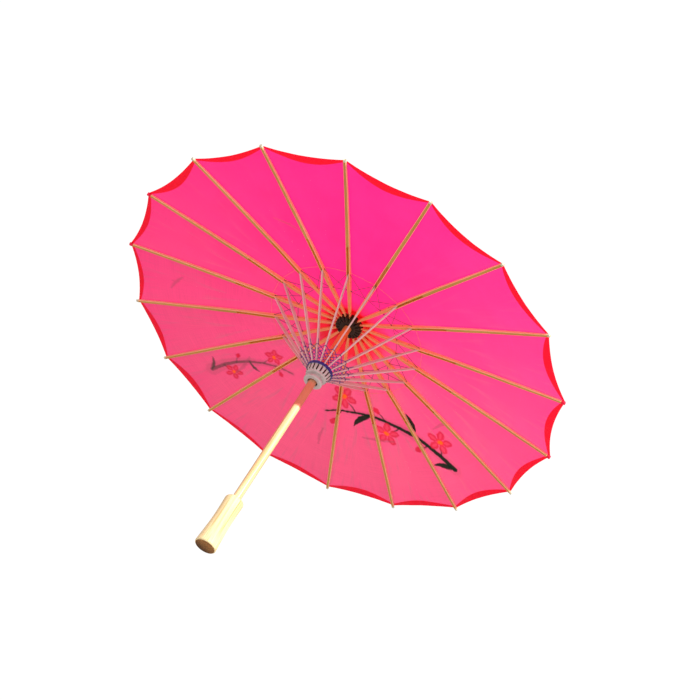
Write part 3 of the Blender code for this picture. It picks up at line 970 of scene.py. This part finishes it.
def spray(start, end, bow, parts, size, tint, cover, seed):
    """A stem with leaves, flowers and buds by turns, on alternate sides of it."""
    draw = random.Random(seed)
    stem = bowed(start, end, bow, [STEM_ROOT + (STEM_TIP - STEM_ROOT) * n / parts for n in range(parts + 1)])
    strokes = [(GREY_WASH, 0.30, 6, [(x, y, 3.2 * width) for x, y, width in stem]), (tint, cover, 1.8, stem)]
    for number, (here, ahead) in enumerate(zip(stem, stem[1:])):
        side = 1 if number % 2 else -1
        heading = math.atan2(ahead[1] - here[1], ahead[0] - here[0]) + side * draw.uniform(0.7, 1.1)
        end_of_twig = away(here, heading, size * draw.uniform(0.8, 1.3))
        strokes.append((tint, cover * 0.8, 1.2, bowed(here[:2], end_of_twig, side * 0.08, (1.1, 0.8, 0.5))))
        if number % 3 == 1:
            strokes += flower(away(end_of_twig, heading, 0.6 * size), size, draw.uniform(0, 2 * math.pi))
        elif number % 3 == 2:
            strokes += bud(end_of_twig, heading, size)
        else:
            strokes += leaf(here[:2], heading, size * draw.uniform(1.8, 2.4), tint)
    return strokes


def dry_strokes(count, seed):
    """Faint strokes of a nearly dry brush, scattered over the outer half of the cloth."""
    draw = random.Random(seed)
    strokes = []
    for _ in range(count):
        start = plan_point(draw.uniform(0, 360), draw.uniform(220, 340))
        end = away(start, draw.uniform(0, 2 * math.pi), draw.uniform(35, 70))
        strokes.append((GREY_WASH, 0.45, 2.6, bowed(start, end, 0.06, (1.0, 2.2, 1.0))))
    return strokes


# A flowering branch, a lighter spray across from it, and a few faint strokes
STROKES = spray(plan_point(152, 335), plan_point(207, 225), 0.12, 9, 24, INK, 0.95, SEED + 1)
STROKES += spray(plan_point(252, 335), plan_point(232, 190), -0.14, 6, 17, DARK_WASH, 0.70, SEED + 2)
STROKES += dry_strokes(6, SEED + 3)


def paint_over(piece):
    """Writes the painted strokes that reach a piece as its paint colour and cover."""
    mesh = piece.data
    co = np.empty(len(mesh.vertices) * 3)
    mesh.vertices.foreach_get("co", co)
    plan = co.reshape(-1, 3)[:, :2] * 1000
    rough = np.array([noise.noise(Vector((x * 0.22, y * 0.22, 1.7))) for x, y in plan])
    dry = np.array([noise.noise(Vector((x * 0.06, y * 0.9, 5.1))) for x, y in plan])
    colour = np.zeros((len(plan), 4))
    for tint, cover, soft, points in STROKES:
        points = np.array(points, float)
        inked = tint == INK
        points[:, 2] *= INK_BRUSH if inked else BRUSH
        if inked and cover > 0.78:
            cover = INK_COVER
        low = points[:, :2].min(0) - points[:, 2].max() - soft
        high = points[:, :2].max(0) + points[:, 2].max() + soft
        near = np.all((plan > low) & (plan < high), axis=1)
        if not near.any():
            continue
        here = plan[near]
        depth = np.full(len(here), -1e9)
        for (ax, ay, aw), (bx, by, bw) in zip(points, points[1:]):
            leg = np.array([bx - ax, by - ay])
            share = np.clip((here - (ax, ay)) @ leg / max(leg @ leg, 1e-9), 0, 1)
            away = np.linalg.norm(here - (ax, ay) - share[:, None] * leg, axis=1)
            depth = np.maximum(depth, aw + (bw - aw) * share - away)
        edge = depth + 0.55 * min(soft, 3.0) * rough[near]
        strength = np.clip(edge / soft + 0.5, 0, 1)
        strength = strength * strength * (3 - 2 * strength) * cover
        strength *= 1 - (0.03 if inked else 0.18) * np.clip(dry[near] + 0.2, 0, 1)
        under = colour[near]
        alpha = strength + under[:, 3] * (1 - strength)
        mixed = under[:, :3] * (under[:, 3] * (1 - strength))[:, None] + np.outer(strength, tint)
        under[:, :3] = mixed / np.maximum(alpha, 1e-6)[:, None]
        under[:, 3] = alpha
        colour[near] = under
    layer = mesh.attributes["paint"]
    layer.data.foreach_set("color", colour.astype(np.float32).ravel())


def painted_range(index, side):
    """The shares of the rib's length between which a half is painted, and its cell size."""
    middle = -index * PITCH + side * HALF_PITCH / 2
    x_axis = math.cos(middle)
    y_axis = math.sin(middle)
    shares = []
    for _, _, soft, points in STROKES:
        for x, y, width in points:
            radial = (x * x_axis + y * y_axis) / 1000
            lateral = abs(x * y_axis - y * x_axis) / 1000 - (width + soft) / 1000
            if radial > 0 and lateral < math.tan(HALF_PITCH / 2) * radial + 0.002:
                spread = (width + soft) / 1000
                low = (radial - spread - HUB_PIVOT_RADIUS - CLOTH_START) / RIB_LENGTH
                high = (radial + spread - HUB_PIVOT_RADIUS - CLOTH_START) / RIB_LENGTH * 1.08
                shares += [max(0.02, low), min(0.98, high)]
    if not shares:
        return None
    fine = 0.0015 if 140 < math.degrees(middle) % 360 < 216 else 0.0019
    return min(shares), max(shares), fine


def half_flat_area():
    """The flat area of a half: a long triangle, less the strip, the hub end and the rim's curve."""
    mean_sag = sum(rim_sag(gap) for gap in range(RIB_COUNT)) / RIB_COUNT
    length = RIB_LENGTH - RIB_OVERHANG - mean_sag * 0.66 - CLOTH_START
    start = full_reach(CLOTH_START) - STRIP_REACH
    end = FULL_RIM_REACH - STRIP_REACH
    return length * (start + end) / 2


def make_canopy():
    """Every rib's strip, halves, hems and crown patch, each on its rib."""
    for index in range(RIB_COUNT):
        body = f"rib_{index:02d}"
        back = strip(index)
        paint_over(back)
        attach(back, body)
        crown = patch_strip(index)
        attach(crown, body)
        skirt = crown_skirt(index)
        if index in WRAPPED_TIPS:
            wrap = tip_wrap(index)
            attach(wrap, body)
        for side, letter in ((1, "a"), (-1, "b")):
            cloth = half_gore(index, side, letter, painted_range(index, side))
            paint_over(cloth)
            hem, patch = half_trim(index, side, letter)
            for piece, slot in ((cloth, "pink_cloth"), (hem, "hem_cloth"), (patch, "hem_cloth")):
                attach(piece, body)
                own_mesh(piece)
            extra = [hem, patch]
            if side > 0:
                extra += [back, crown, skirt]
                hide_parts(f"canopy_gore_{index:02d}")
            half_flat_area()


# ---------------------------------------------------------------- ribs and stretchers
RIB_SECTIONS = [
    (-0.0020, 0.0024, RIB_UNDERSIDE),
    (0.0100, 0.0024, RIB_UNDERSIDE),
    (0.0120, 0.0036, RIB_UNDERSIDE),
    (0.0300, 0.0054, 0.0019),
    (0.0700, 0.0062, 0.0029),
    (0.1050, 0.0064, 0.0044),
    (0.1310, 0.0066, 0.0046),
    (0.1500, 0.0068, 0.0039),
    (0.1790, 0.0068, 0.0031),
    (0.2300, 0.0066, 0.0026),
    (0.3200, 0.0060, 0.0021),
    (RIB_LENGTH, 0.0052, RIB_UNDERSIDE),
]
RIB_WIDTHS = [(along, width) for along, width, _ in RIB_SECTIONS]
RIB_DEPTHS = [(along, depth) for along, _, depth in RIB_SECTIONS]
RIB_SLOT_WIDTH = 0.0035
RIB_SLOT_ROOF = 0.0023
RIB_SLOT_BEFORE = 0.0076
RIB_SLOT_AFTER = 0.075
PALE_TIP = 0.0042
EDGE = 0.0008


def along_table(table, along):
    for (a, low), (b, high) in zip(table, table[1:]):
        if along <= b:
            return low + (high - low) * max(0.0, (along - a) / (b - a))
    return table[-1][1]


def bar(name, sections, edge):
    """A bar along +X through (along, width, bottom, top, lean) sections with worn edges."""
    verts = []
    for along, width, bottom, top, lean in sections:
        half = width / 2
        soft = min(edge, half * 0.55, (top - bottom) * 0.3)
        for y, z in (
            (-half + soft, bottom),
            (half - soft, bottom),
            (half, bottom + soft),
            (half, top - soft),
            (half - soft, top),
            (-half + soft, top),
            (-half, top - soft),
            (-half, bottom + soft),
        ):
            verts.append((along, y + lean, z))
    faces = [tuple(range(8))]
    for i in range(len(sections) - 1):
        for j in range(8):
            k = (j + 1) % 8
            faces.append((i * 8 + j, i * 8 + k, (i + 1) * 8 + k, (i + 1) * 8 + j))
    last = (len(sections) - 1) * 8
    faces.append(tuple(range(last, last + 8)))
    mesh = make_mesh(name, verts, faces)
    face_out(mesh)
    return mesh


def set_materials(mesh, choose):
    """Gives each face the material index that choose(normal, centre) says."""
    for face in mesh.polygons:
        face.material_index = choose(face.normal, face.center)


def rib_mesh(index):
    draw = random.Random(SEED + index)
    knuckles = [draw.uniform(0.06, 0.10), draw.uniform(0.20, 0.26), draw.uniform(0.32, 0.38)]
    drift = [draw.uniform(-1, 1) for _ in range(8)]
    sections = [(-0.0020, 0.0022, -0.0008, 0.0008, 0), (-0.0013, 0.0024, -0.0015, 0.0015, 0)]
    sections += [(0.0, 0.0024, -0.0019, 0.0020, 0), (0.0098, 0.0024, -RIB_UNDERSIDE, 0.0030, 0)]
    places = spaced(0.0120, RIB_LENGTH - 0.0006, 0.0062) + [RIB_LENGTH - PALE_TIP]
    for knuckle in knuckles:
        places += [knuckle - 0.0022, knuckle, knuckle + 0.0022]
    for along in sorted(places):
        middle = rib_bow(along)
        width = along_table(RIB_WIDTHS, along)
        swell = max(math.exp(-(((along - k) / 0.002) ** 2)) for k in knuckles)
        free = min(1.0, max(0.0, (along - 0.012) / 0.02))
        wave = drift[0] * math.sin(along * 31 + drift[1] * 3)
        wave += 0.6 * drift[2] * math.sin(along * 83 + drift[3] * 3)
        lean = 0.00016 * free * wave
        width += 0.00022 * swell + 0.00012 * free * math.sin(along * 57 + drift[4] * 3)
        below = along_table(RIB_DEPTHS, along) + 0.00018 * swell
        low = middle - below + 0.00010 * free * math.sin(along * 71 + drift[5] * 3)
        sections.append((along, width, low, middle + rib_top(along), lean))
    tip = RIB_LENGTH
    sections.append((tip, 0.0048, -RIB_UNDERSIDE + 0.0003, RIB_TIP_TOP - 0.0003, 0))
    level = rib_bow(ELBOW_ALONG)
    low = (ELBOW_ALONG - RIB_SLOT_BEFORE, -RIB_SLOT_WIDTH / 2, -0.01)
    high = (ELBOW_ALONG + RIB_SLOT_AFTER, RIB_SLOT_WIDTH / 2, level + RIB_SLOT_ROOF)
    cutter = boxes("rib_slot", [(low, high, 0)])
    mesh = cut(bar("rib", sections, EDGE), cutter)

    def choose(normal, centre):
        in_slot = low[0] - 1e-5 < centre.x < high[0] + 1e-5 and abs(centre.y) < high[1] + 1e-5
        if in_slot and centre.z < high[2] + 1e-5:
            return 3
        if centre.x > tip - PALE_TIP:
            return 2
        # Down-facing faces take the darker bamboo, as painted shade
        return 1 if normal.z < -0.85 else 0

    set_materials(mesh, choose)
    shade(mesh, 30)
    return mesh


def stretcher_mesh(index):
    draw = random.Random(100 * SEED + index)
    drift = [draw.uniform(-1, 1) for _ in range(6)]
    length = STRETCHER_LENGTH
    widths = [(-0.0019, 0.0029), (0.03, 0.0029), (0.055, 0.0028), (length - 0.03, 0.0025)]
    widths += [(length - 0.008, 0.0022), (length, 0.0022)]
    depths = [(-0.0019, 0.0008), (-0.0012, 0.0015), (0.0, 0.0019), (0.03, 0.0022), (0.055, 0.0028)]
    depths += [(length - 0.03, 0.0028)]
    depths += [(length - 0.008, 0.0020), (length, 0.0019)]
    depths += [(length + 0.0012, 0.0015), (length + 0.0019, 0.0008)]
    places = [-0.0019, -0.0012, 0.0] + spaced(0.006, length - 0.006, 0.007)
    places += [length, length + 0.0012, length + 0.0019]
    sections = []
    for along in places:
        free = max(0.0, min(1.0, min(along - 0.012, length - 0.03 - along) / 0.02))
        wave = drift[0] * math.sin(along * 47 + 3 * drift[1]) + 0.5 * math.sin(along * 120 + drift[2])
        lean = 0.00020 * free * wave
        deep = along_table(depths, along) + 0.00010 * free * math.sin(along * 90 + 3 * drift[3])
        sections.append((along, along_table(widths, along), -deep, deep, lean))
    mesh = bar("stretcher", sections, 0.0004)
    shade(mesh, 30)
    return mesh


def make_frame_bars():
    rib_looks = [MATERIALS[name] for name in ("rib_side", "rib_shaded_under", "rib_end", "rib_slot")]
    for index in range(RIB_COUNT):
        rib = add_piece(f"rib_bar_{index:02d}", rib_mesh(index), rib_looks, spin(index) @ RIB_PLACE)
        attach(rib, f"rib_{index:02d}")
        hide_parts(f"rib_{index:02d}")
        name = f"stretcher_bar_{index:02d}"
        place = spin(index) @ STRETCHER_PLACE
        stretcher = add_piece(name, stretcher_mesh(index), [MATERIALS["stretcher"]], place)
        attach(stretcher, f"stretcher_{index:02d}")
        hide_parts(f"stretcher_{index:02d}")


# ---------------------------------------------------------------- turned parts
def arc(centre, radius, start, end, steps):
    points = []
    for step in range(steps + 1):
        turn = math.radians(start + (end - start) * step / steps)
        points.append((centre[0] + radius * math.cos(turn), centre[1] + radius * math.sin(turn)))
    return points


def softened(profile, soft, steps=3):
    """The profile with each inner corner rounded off over a short length."""
    result = [profile[0]]
    for before, corner, after in zip(profile, profile[1:], profile[2:]):
        corner = Vector(corner)
        back = Vector(before) - corner
        ahead = Vector(after) - corner
        room = min(soft, back.length * 0.45, ahead.length * 0.45)
        if corner.x < 1e-6 or room < 1e-5:
            result.append(tuple(corner))
            continue
        start = corner + back.normalized() * room
        end = corner + ahead.normalized() * room
        for step in range(steps + 1):
            share = step / steps
            point = start.lerp(corner, share).lerp(corner.lerp(end, share), share)
            result.append(tuple(point))
    result.append(profile[-1])
    return result


def ride_on(piece, body, node_name):
    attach(piece, body)
    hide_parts(node_name)
    return piece


def slots_round(start, end, width, low, high):
    corners = []
    for index in range(RIB_COUNT):
        corners.append(((start, -width / 2, low), (end, width / 2, high), -index * PITCH))
    return boxes("slots", corners)


def make_shaft():
    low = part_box("shaft")[0].z
    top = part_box("shaft")[1].z
    edge = 0.0006
    profile = [(0.0, top), (SHAFT_RADIUS - edge, top), (SHAFT_RADIUS, top - edge)]
    profile += [(SHAFT_RADIUS, top - (top - low) * step / 30) for step in range(1, 30)]
    profile += [(SHAFT_RADIUS, low + edge), (SHAFT_RADIUS - edge, low), (0.0, low)]
    slot_low = (0.0002, -CATCH_SLOT_WIDTH / 2, CATCH_SLOT_LOW)
    slot_high = (0.02, CATCH_SLOT_WIDTH / 2, CATCH_SLOT_TOP)
    slot = boxes("catch_slot", [(slot_low, slot_high, CATCH_AZIMUTH)])
    mesh = cut(lathe("shaft", profile, 64), slot)
    shade(mesh)
    ride_on(add_piece("shaft_turned", mesh, [MATERIALS["shaft"]]), "root", "shaft")


def make_handle():
    length = 0.097
    shoulder = 0.0055
    shoulder_radius = 0.0162
    waist_radius = 0.0154
    end_radius = 0.0182
    end_edge = 0.0025
    body = []
    for step in range(33):
        share = step / 32
        level = length - shoulder - share * (length - shoulder - end_edge)
        if share < 0.4:
            radius = shoulder_radius + (waist_radius - shoulder_radius) * math.sin(share / 0.4 * math.pi / 2)
        else:
            radius = waist_radius + (end_radius - waist_radius) * ((share - 0.4) / 0.6) ** 1.5
        body.append((radius, level))
    profile = [(SHAFT_BORE, length)]
    profile += arc((shoulder_radius - shoulder, length - shoulder), shoulder, 90, 0, 10)[:-1]
    profile += body
    profile += arc((end_radius - end_edge, end_edge), end_edge, 0, -90, 5)[1:]
    profile += [(0.008, 0.0), (0.0, 0.0), (0.0, 0.012), (SHAFT_BORE, 0.012)]
    mesh = lathe("handle", profile)
    set_materials(mesh, lambda normal, centre: 1 if normal.z < -0.9 and centre.z < 0.001 else 0)
    shade(mesh, 40)
    looks = [MATERIALS["handle"], MATERIALS["handle_end"]]
    ride_on(add_piece("handle_turned", mesh, looks), "root", "handle")


def make_crown_hub():
    outer = 0.0244
    edge = 0.001
    profile = [(SHAFT_BORE, HUB_HIGH), (outer - edge, HUB_HIGH), (outer, HUB_HIGH - edge)]
    profile += [(outer, HUB_LOW + edge), (outer - edge, HUB_LOW), (SHAFT_BORE, HUB_LOW)]
    slots = slots_round(0.0155, 0.03, 0.0030, HUB_LOW - 0.01, HUB_HIGH + 0.01)
    mesh = cut(lathe("hub", profile, 90), slots, 0.0002)
    shade(mesh)
    ride_on(add_piece("crown_hub_toothed", mesh, [MATERIALS["hub"]]), "root", "crown_hub")


def make_finial():
    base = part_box("finial")[0].z
    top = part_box("finial")[1].z
    bore_top = base + 0.0055
    profile = [(0.0, top)]
    profile += arc((0.0, top - 0.0075), 0.0075, 90, 15, 14)[1:]
    profile += softened([(0.0073, top - 0.0066), (0.0078, base + 0.0088), (0.0105, base + 0.0072)], 0.001)[1:]
    profile += arc((0.0125, base + 0.0026), 0.0045, 60, 0, 8)
    profile += [(0.0170, base), (SHAFT_BORE, base), (SHAFT_BORE, bore_top), (0.0, bore_top)]
    mesh = lathe("finial", profile, 72)
    shade(mesh)
    ride_on(add_piece("finial_turned", mesh, [MATERIALS["handle"]]), "root", "finial")


def make_runner():
    bore = 0.0094
    floor = RUNNER_SLOT_FLOOR
    profile = [
        (bore, RUNNER_TOP),
        (0.0225, RUNNER_TOP),
        (0.0236, RUNNER_TOP - 0.0012),
        (0.0230, RUNNER_PIVOT_HEIGHT - 0.0010),
        (0.0205, floor + 0.0008),
        (0.0189, floor),
        (0.0189, floor - 0.0030),
        (0.0175, floor - 0.0038),
        (0.0132, floor - 0.0046),
        (0.0125, RUNNER_LOW + 0.0075),
        (0.0132, RUNNER_LOW + 0.0052),
        (0.0165, RUNNER_LOW + 0.0045),
        (0.0173, RUNNER_LOW + 0.0037),
        (0.0173, RUNNER_LOW + 0.0008),
        (0.0165, RUNNER_LOW),
        (bore, RUNNER_LOW),
    ]
    slots = slots_round(0.0147, 0.03, 0.0028, floor, RUNNER_TOP + 0.01)
    mesh = cut(lathe("runner", softened(profile, 0.0006), 90), slots, 0.00018)

    # Faces of the bore and inside the slots take the dark material, as painted shade
    def choose(normal, centre):
        radius = math.hypot(centre.x, centre.y)
        inward = normal.x * centre.x + normal.y * centre.y
        if radius < bore + 0.0004 and inward < 0:
            return 1
        tangential = abs(normal.x * centre.y - normal.y * centre.x) / radius
        in_slot = centre.z > floor - 0.0001 and radius > 0.0140
        on_side = tangential > 0.8
        on_back = radius < 0.0153 and inward > 0
        on_floor = normal.z > 0.9 and centre.z < floor + 0.0004
        return 1 if in_slot and (on_side or on_back or on_floor) else 0

    set_materials(mesh, choose)
    shade(mesh)
    looks = [MATERIALS["runner"], MATERIALS["runner_slot"]]
    ride_on(add_piece("runner_turned", mesh, looks), "runner", "runner")


def make_catch():
    leaf = frame["nodes"]["catch_spring"]
    leaf.data.materials.clear()
    leaf.data.materials.append(MATERIALS["catch"])
    soft = leaf.modifiers.new("worn_edge", "BEVEL")
    soft.width = 0.00025
    soft.segments = 2
    soft.limit_method = "ANGLE"


# ---------------------------------------------------------------- threads
NET_INNER_ALONG = 0.0800
NET_RING_ALONG = 0.1315
RIB_FACE = 0.0031
LACING_ROWS = [0.0345, 0.0270, 0.0200, 0.0140, 0.0085, 0.0440]
LACING_FACE = 0.00145
NET_RADIUS = 0.00044
RING_RADIUS = 0.00030
LACING_RADIUS = 0.00058
BINDING_RADIUS = 0.00022
WINDING_RADIUS = 0.00060
WINDING_TURNS = 6
WINDING_TOP = 0.4026
WINDING_REACH = 0.0243
WINDING_STEP = 0.00098


def neighbour(point, side):
    """The same place on the next rib over, mirrored so that it faces this one."""
    mirrored = Vector((point.x, -point.y, point.z))
    return Matrix.Rotation(side * PITCH, 4, "Z") @ mirrored


def to_middle(start, end, side):
    """Where the line from start to end passes half way between two ribs."""
    normal = Matrix.Rotation(side * HALF_PITCH, 3, "Z") @ Vector((0, 1, 0))
    first = start.dot(normal)
    last = end.dot(normal)
    return start.lerp(end, first / (first - last))


def half_threads(
    index, name, place, rows, lines, radius, droop, body, look, knots, tails=()
):
    """The halves of the threads between two bars that stay with one of them, on each side."""
    for side, letter in ((1, "a"), (-1, "b")):
        threads = Threads()
        points = [place(along, side) for along in rows]
        for first, second in lines:
            start = points[first]
            end = neighbour(points[second], side)
            middle = to_middle(start, end, side)
            threads.line(start, middle, radius, droop, 5)
        for first, second in tails:
            threads.line(points[first], points[second], radius, 0.0, 2)
        for which, size in knots:
            threads.knot(points[which], size)
        turn = spin(index)
        threads.verts = [turn @ v for v in threads.verts]
        piece = add_piece(f"{name}_{index:02d}_{letter}", threads.mesh(name), [look])
        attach(piece, body)
        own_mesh(piece)


def rib_side_place(along, side):
    radius, level = rib_point(along, rib_bow(along) - 0.0002)
    return Vector((radius, side * RIB_FACE, level))


def stretcher_side_place(distance, side):
    share = distance / STRETCHER_LENGTH
    radius = RUNNER_PIVOT_RADIUS + STRETCHER_RUN * share
    level = RUNNER_PIVOT_HEIGHT + STRETCHER_FALL * share
    return Vector((radius, side * LACING_FACE, level))


def wrap_mesh(centre, along, up, width, depth, radius, turns, gap):
    """Turns of thread bound round a bar, side by side along it."""
    threads = Threads()
    side = up.cross(along).normalized()
    for turn in range(turns):
        middle = centre + along * (turn - (turns - 1) / 2) * gap
        points = []
        for step in range(12):
            angle = 2 * math.pi * step / 12
            c, s = math.cos(angle), math.sin(angle)
            stretch = 1 / max(abs(c), abs(s)) ** 0.75
            points.append(middle + side * width * c * stretch + up * depth * s * stretch)
        threads.run(points, radius, 5, closed=True)
    return threads


def make_threads():
    for index in range(RIB_COUNT):
        rib = f"rib_{index:02d}"
        stretcher = f"stretcher_{index:02d}"
        half_threads(
            index,
            "net",
            rib_side_place,
            [ELBOW_ALONG, NET_INNER_ALONG, 0.1050],
            [(0, 1), (1, 0), (1, 1)],
            NET_RADIUS,
            0.0006,
            rib,
            MATERIALS["net"],
            [(0, 0.0011), (1, 0.0009), (2, 0.0008)],
        )
        half_threads(
            index,
            "ring_thread",
            rib_side_place,
            [NET_RING_ALONG],
            [(0, 0)],
            RING_RADIUS,
            0.0004,
            rib,
            MATERIALS["ring"],
            [],
        )
        half_threads(
            index,
            "lacing",
            stretcher_side_place,
            LACING_ROWS,
            [(0, 1), (1, 0), (1, 2), (2, 1), (2, 3), (3, 2), (3, 4), (4, 3)],
            LACING_RADIUS,
            0.0003,
            stretcher,
            MATERIALS["lacing"],
            [(1, 0.0008), (2, 0.0008)],
            [(0, 5)],
        )
        centre = stretcher_side_place(LACING_ROWS[0], 0)
        along = (stretcher_side_place(LACING_ROWS[1], 0) - centre).normalized()
        up = along.cross(Vector((0, 1, 0))).normalized()
        wrap = wrap_mesh(centre, along, up, 0.0015, 0.0030, BINDING_RADIUS, 3, 0.0006)
        turn = spin(index)
        wrap.verts = [turn @ v for v in wrap.verts]
        piece = add_piece(f"lacing_wrap_{index:02d}", wrap.mesh("wrap"), [MATERIALS["indigo"]])
        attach(piece, stretcher)
    wound = Threads()
    for turn in range(WINDING_TURNS):
        level = WINDING_TOP - WINDING_STEP * turn
        radius = WINDING_REACH - 0.00010 * turn
        points = []
        for step in range(72):
            angle = 2 * math.pi * step / 72
            points.append((radius * math.cos(angle), radius * math.sin(angle), level))
        wound.run(points, WINDING_RADIUS, 6, closed=True)
    ring = add_piece("runner_winding", wound.mesh("winding"), [MATERIALS["indigo"]])
    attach(ring, "runner")


# ---------------------------------------------------------------- stage, light and camera
CAMERA_PLACE = (1.2718, 1.0643, -0.8586)
CAMERA_RIGHT = Vector((-0.2674, 0.8669, 0.4207))
CAMERA_UP = Vector((0.7504, -0.0865, 0.6553))
CAMERA_LENS = 61.72
FLOOR_REACH = 30.0
FLOOR_LEVEL = -1.25


def add_camera():
    camera = bpy.data.objects.new("camera", bpy.data.cameras.new("camera"))
    bpy.context.scene.collection.objects.link(camera)
    camera.data.lens = CAMERA_LENS
    camera.data.sensor_width = 36.0
    camera.data.clip_end = 50.0
    right = CAMERA_RIGHT.normalized()
    back = right.cross(CAMERA_UP).normalized()
    up = back.cross(right)
    turned = Matrix((right, up, back)).transposed().to_4x4()
    camera.matrix_world = Matrix.Translation(CAMERA_PLACE) @ turned
    bpy.context.scene.camera = camera


def add_area_light(name, place, target, size, power, colour=(1, 1, 1)):
    data = bpy.data.lights.new(name, "AREA")
    data.shape = "DISK"
    data.size = size
    data.energy = power
    data.color = colour
    light = bpy.data.objects.new(name, data)
    bpy.context.scene.collection.objects.link(light)
    light.location = place
    light.rotation_mode = "QUATERNION"
    light.rotation_quaternion = (Vector(target) - Vector(place)).to_track_quat("-Z", "Y")


def add_floor():
    material, tree, shader = new_material("floor_paper", 0.9)
    tone = speckle(tree, object_place(tree), 3.0, 3.0)
    greys = ramp(tree, tone, [(0.2, (0.62, 0.62, 0.62)), (0.8, (0.66, 0.66, 0.66))])
    tree.links.new(greys, shader.inputs["Base Color"])
    sides = ((-1, -1), (1, -1), (1, 1), (-1, 1))
    corners = [(x * FLOOR_REACH, y * FLOOR_REACH, FLOOR_LEVEL) for x, y in sides]
    floor = add_piece("floor", make_mesh("floor", corners, [(0, 1, 2, 3)]), [material])


SOFT_SIDE = (0.78, 0.62, 0.0)


def add_world():
    world = bpy.data.worlds.new("studio")
    bpy.context.scene.world = world
    world.use_nodes = True
    tree = world.node_tree
    sky = tree.nodes["Background"]
    direction = node(tree, "ShaderNodeTexCoord").outputs["Generated"]
    rise = node(tree, "ShaderNodeSeparateXYZ", {0: direction}).outputs["Z"]
    facing = dot_product(tree, direction, SOFT_SIDE)
    level = rescale(tree, rise, -0.35, 0.10, 0.35, 0.85)
    level = figure(tree, "MULTIPLY", level, rescale(tree, facing, -1.0, 1.0, 0.55, 1.45))
    tree.links.new(level, sky.inputs["Strength"])
    sky.inputs["Color"].default_value = (1.0, 1.0, 1.0, 1.0)
    seen = node(tree, "ShaderNodeBackground", {"Color": (1.0, 1.0, 1.0, 1.0), "Strength": 1.05})
    rays = node(tree, "ShaderNodeLightPath")
    mixed = {0: rays.outputs["Is Camera Ray"], 1: sky.outputs[0], 2: seen.outputs[0]}
    both = node(tree, "ShaderNodeMixShader", mixed)
    tree.links.new(both.outputs[0], tree.nodes["World Output"].inputs["Surface"])


KEY_AZIMUTH = math.radians(65)
KEY_RISE = math.radians(21.9)
KEY_DISTANCE = 3.2


def add_lights():
    target = Vector((0, 0, 0.25))
    flat = math.cos(KEY_RISE)
    way = Vector((math.cos(KEY_AZIMUTH) * flat, math.sin(KEY_AZIMUTH) * flat, math.sin(KEY_RISE)))
    add_area_light("key", target + way * KEY_DISTANCE, target, 0.06, 135.0, (1.0, 0.97, 0.90))
    add_area_light("overhead", (0.3, 0.6, 3.2), (0, 0, 0.45), 2.0, 22.0)


scene = bpy.context.scene
scene.view_settings.view_transform = "Standard"
scene.view_settings.look = "None"

make_canopy()
make_frame_bars()
make_shaft()
make_handle()
make_crown_hub()
make_finial()
make_runner()
make_catch()
make_threads()
add_floor()
add_world()
add_lights()
add_camera()
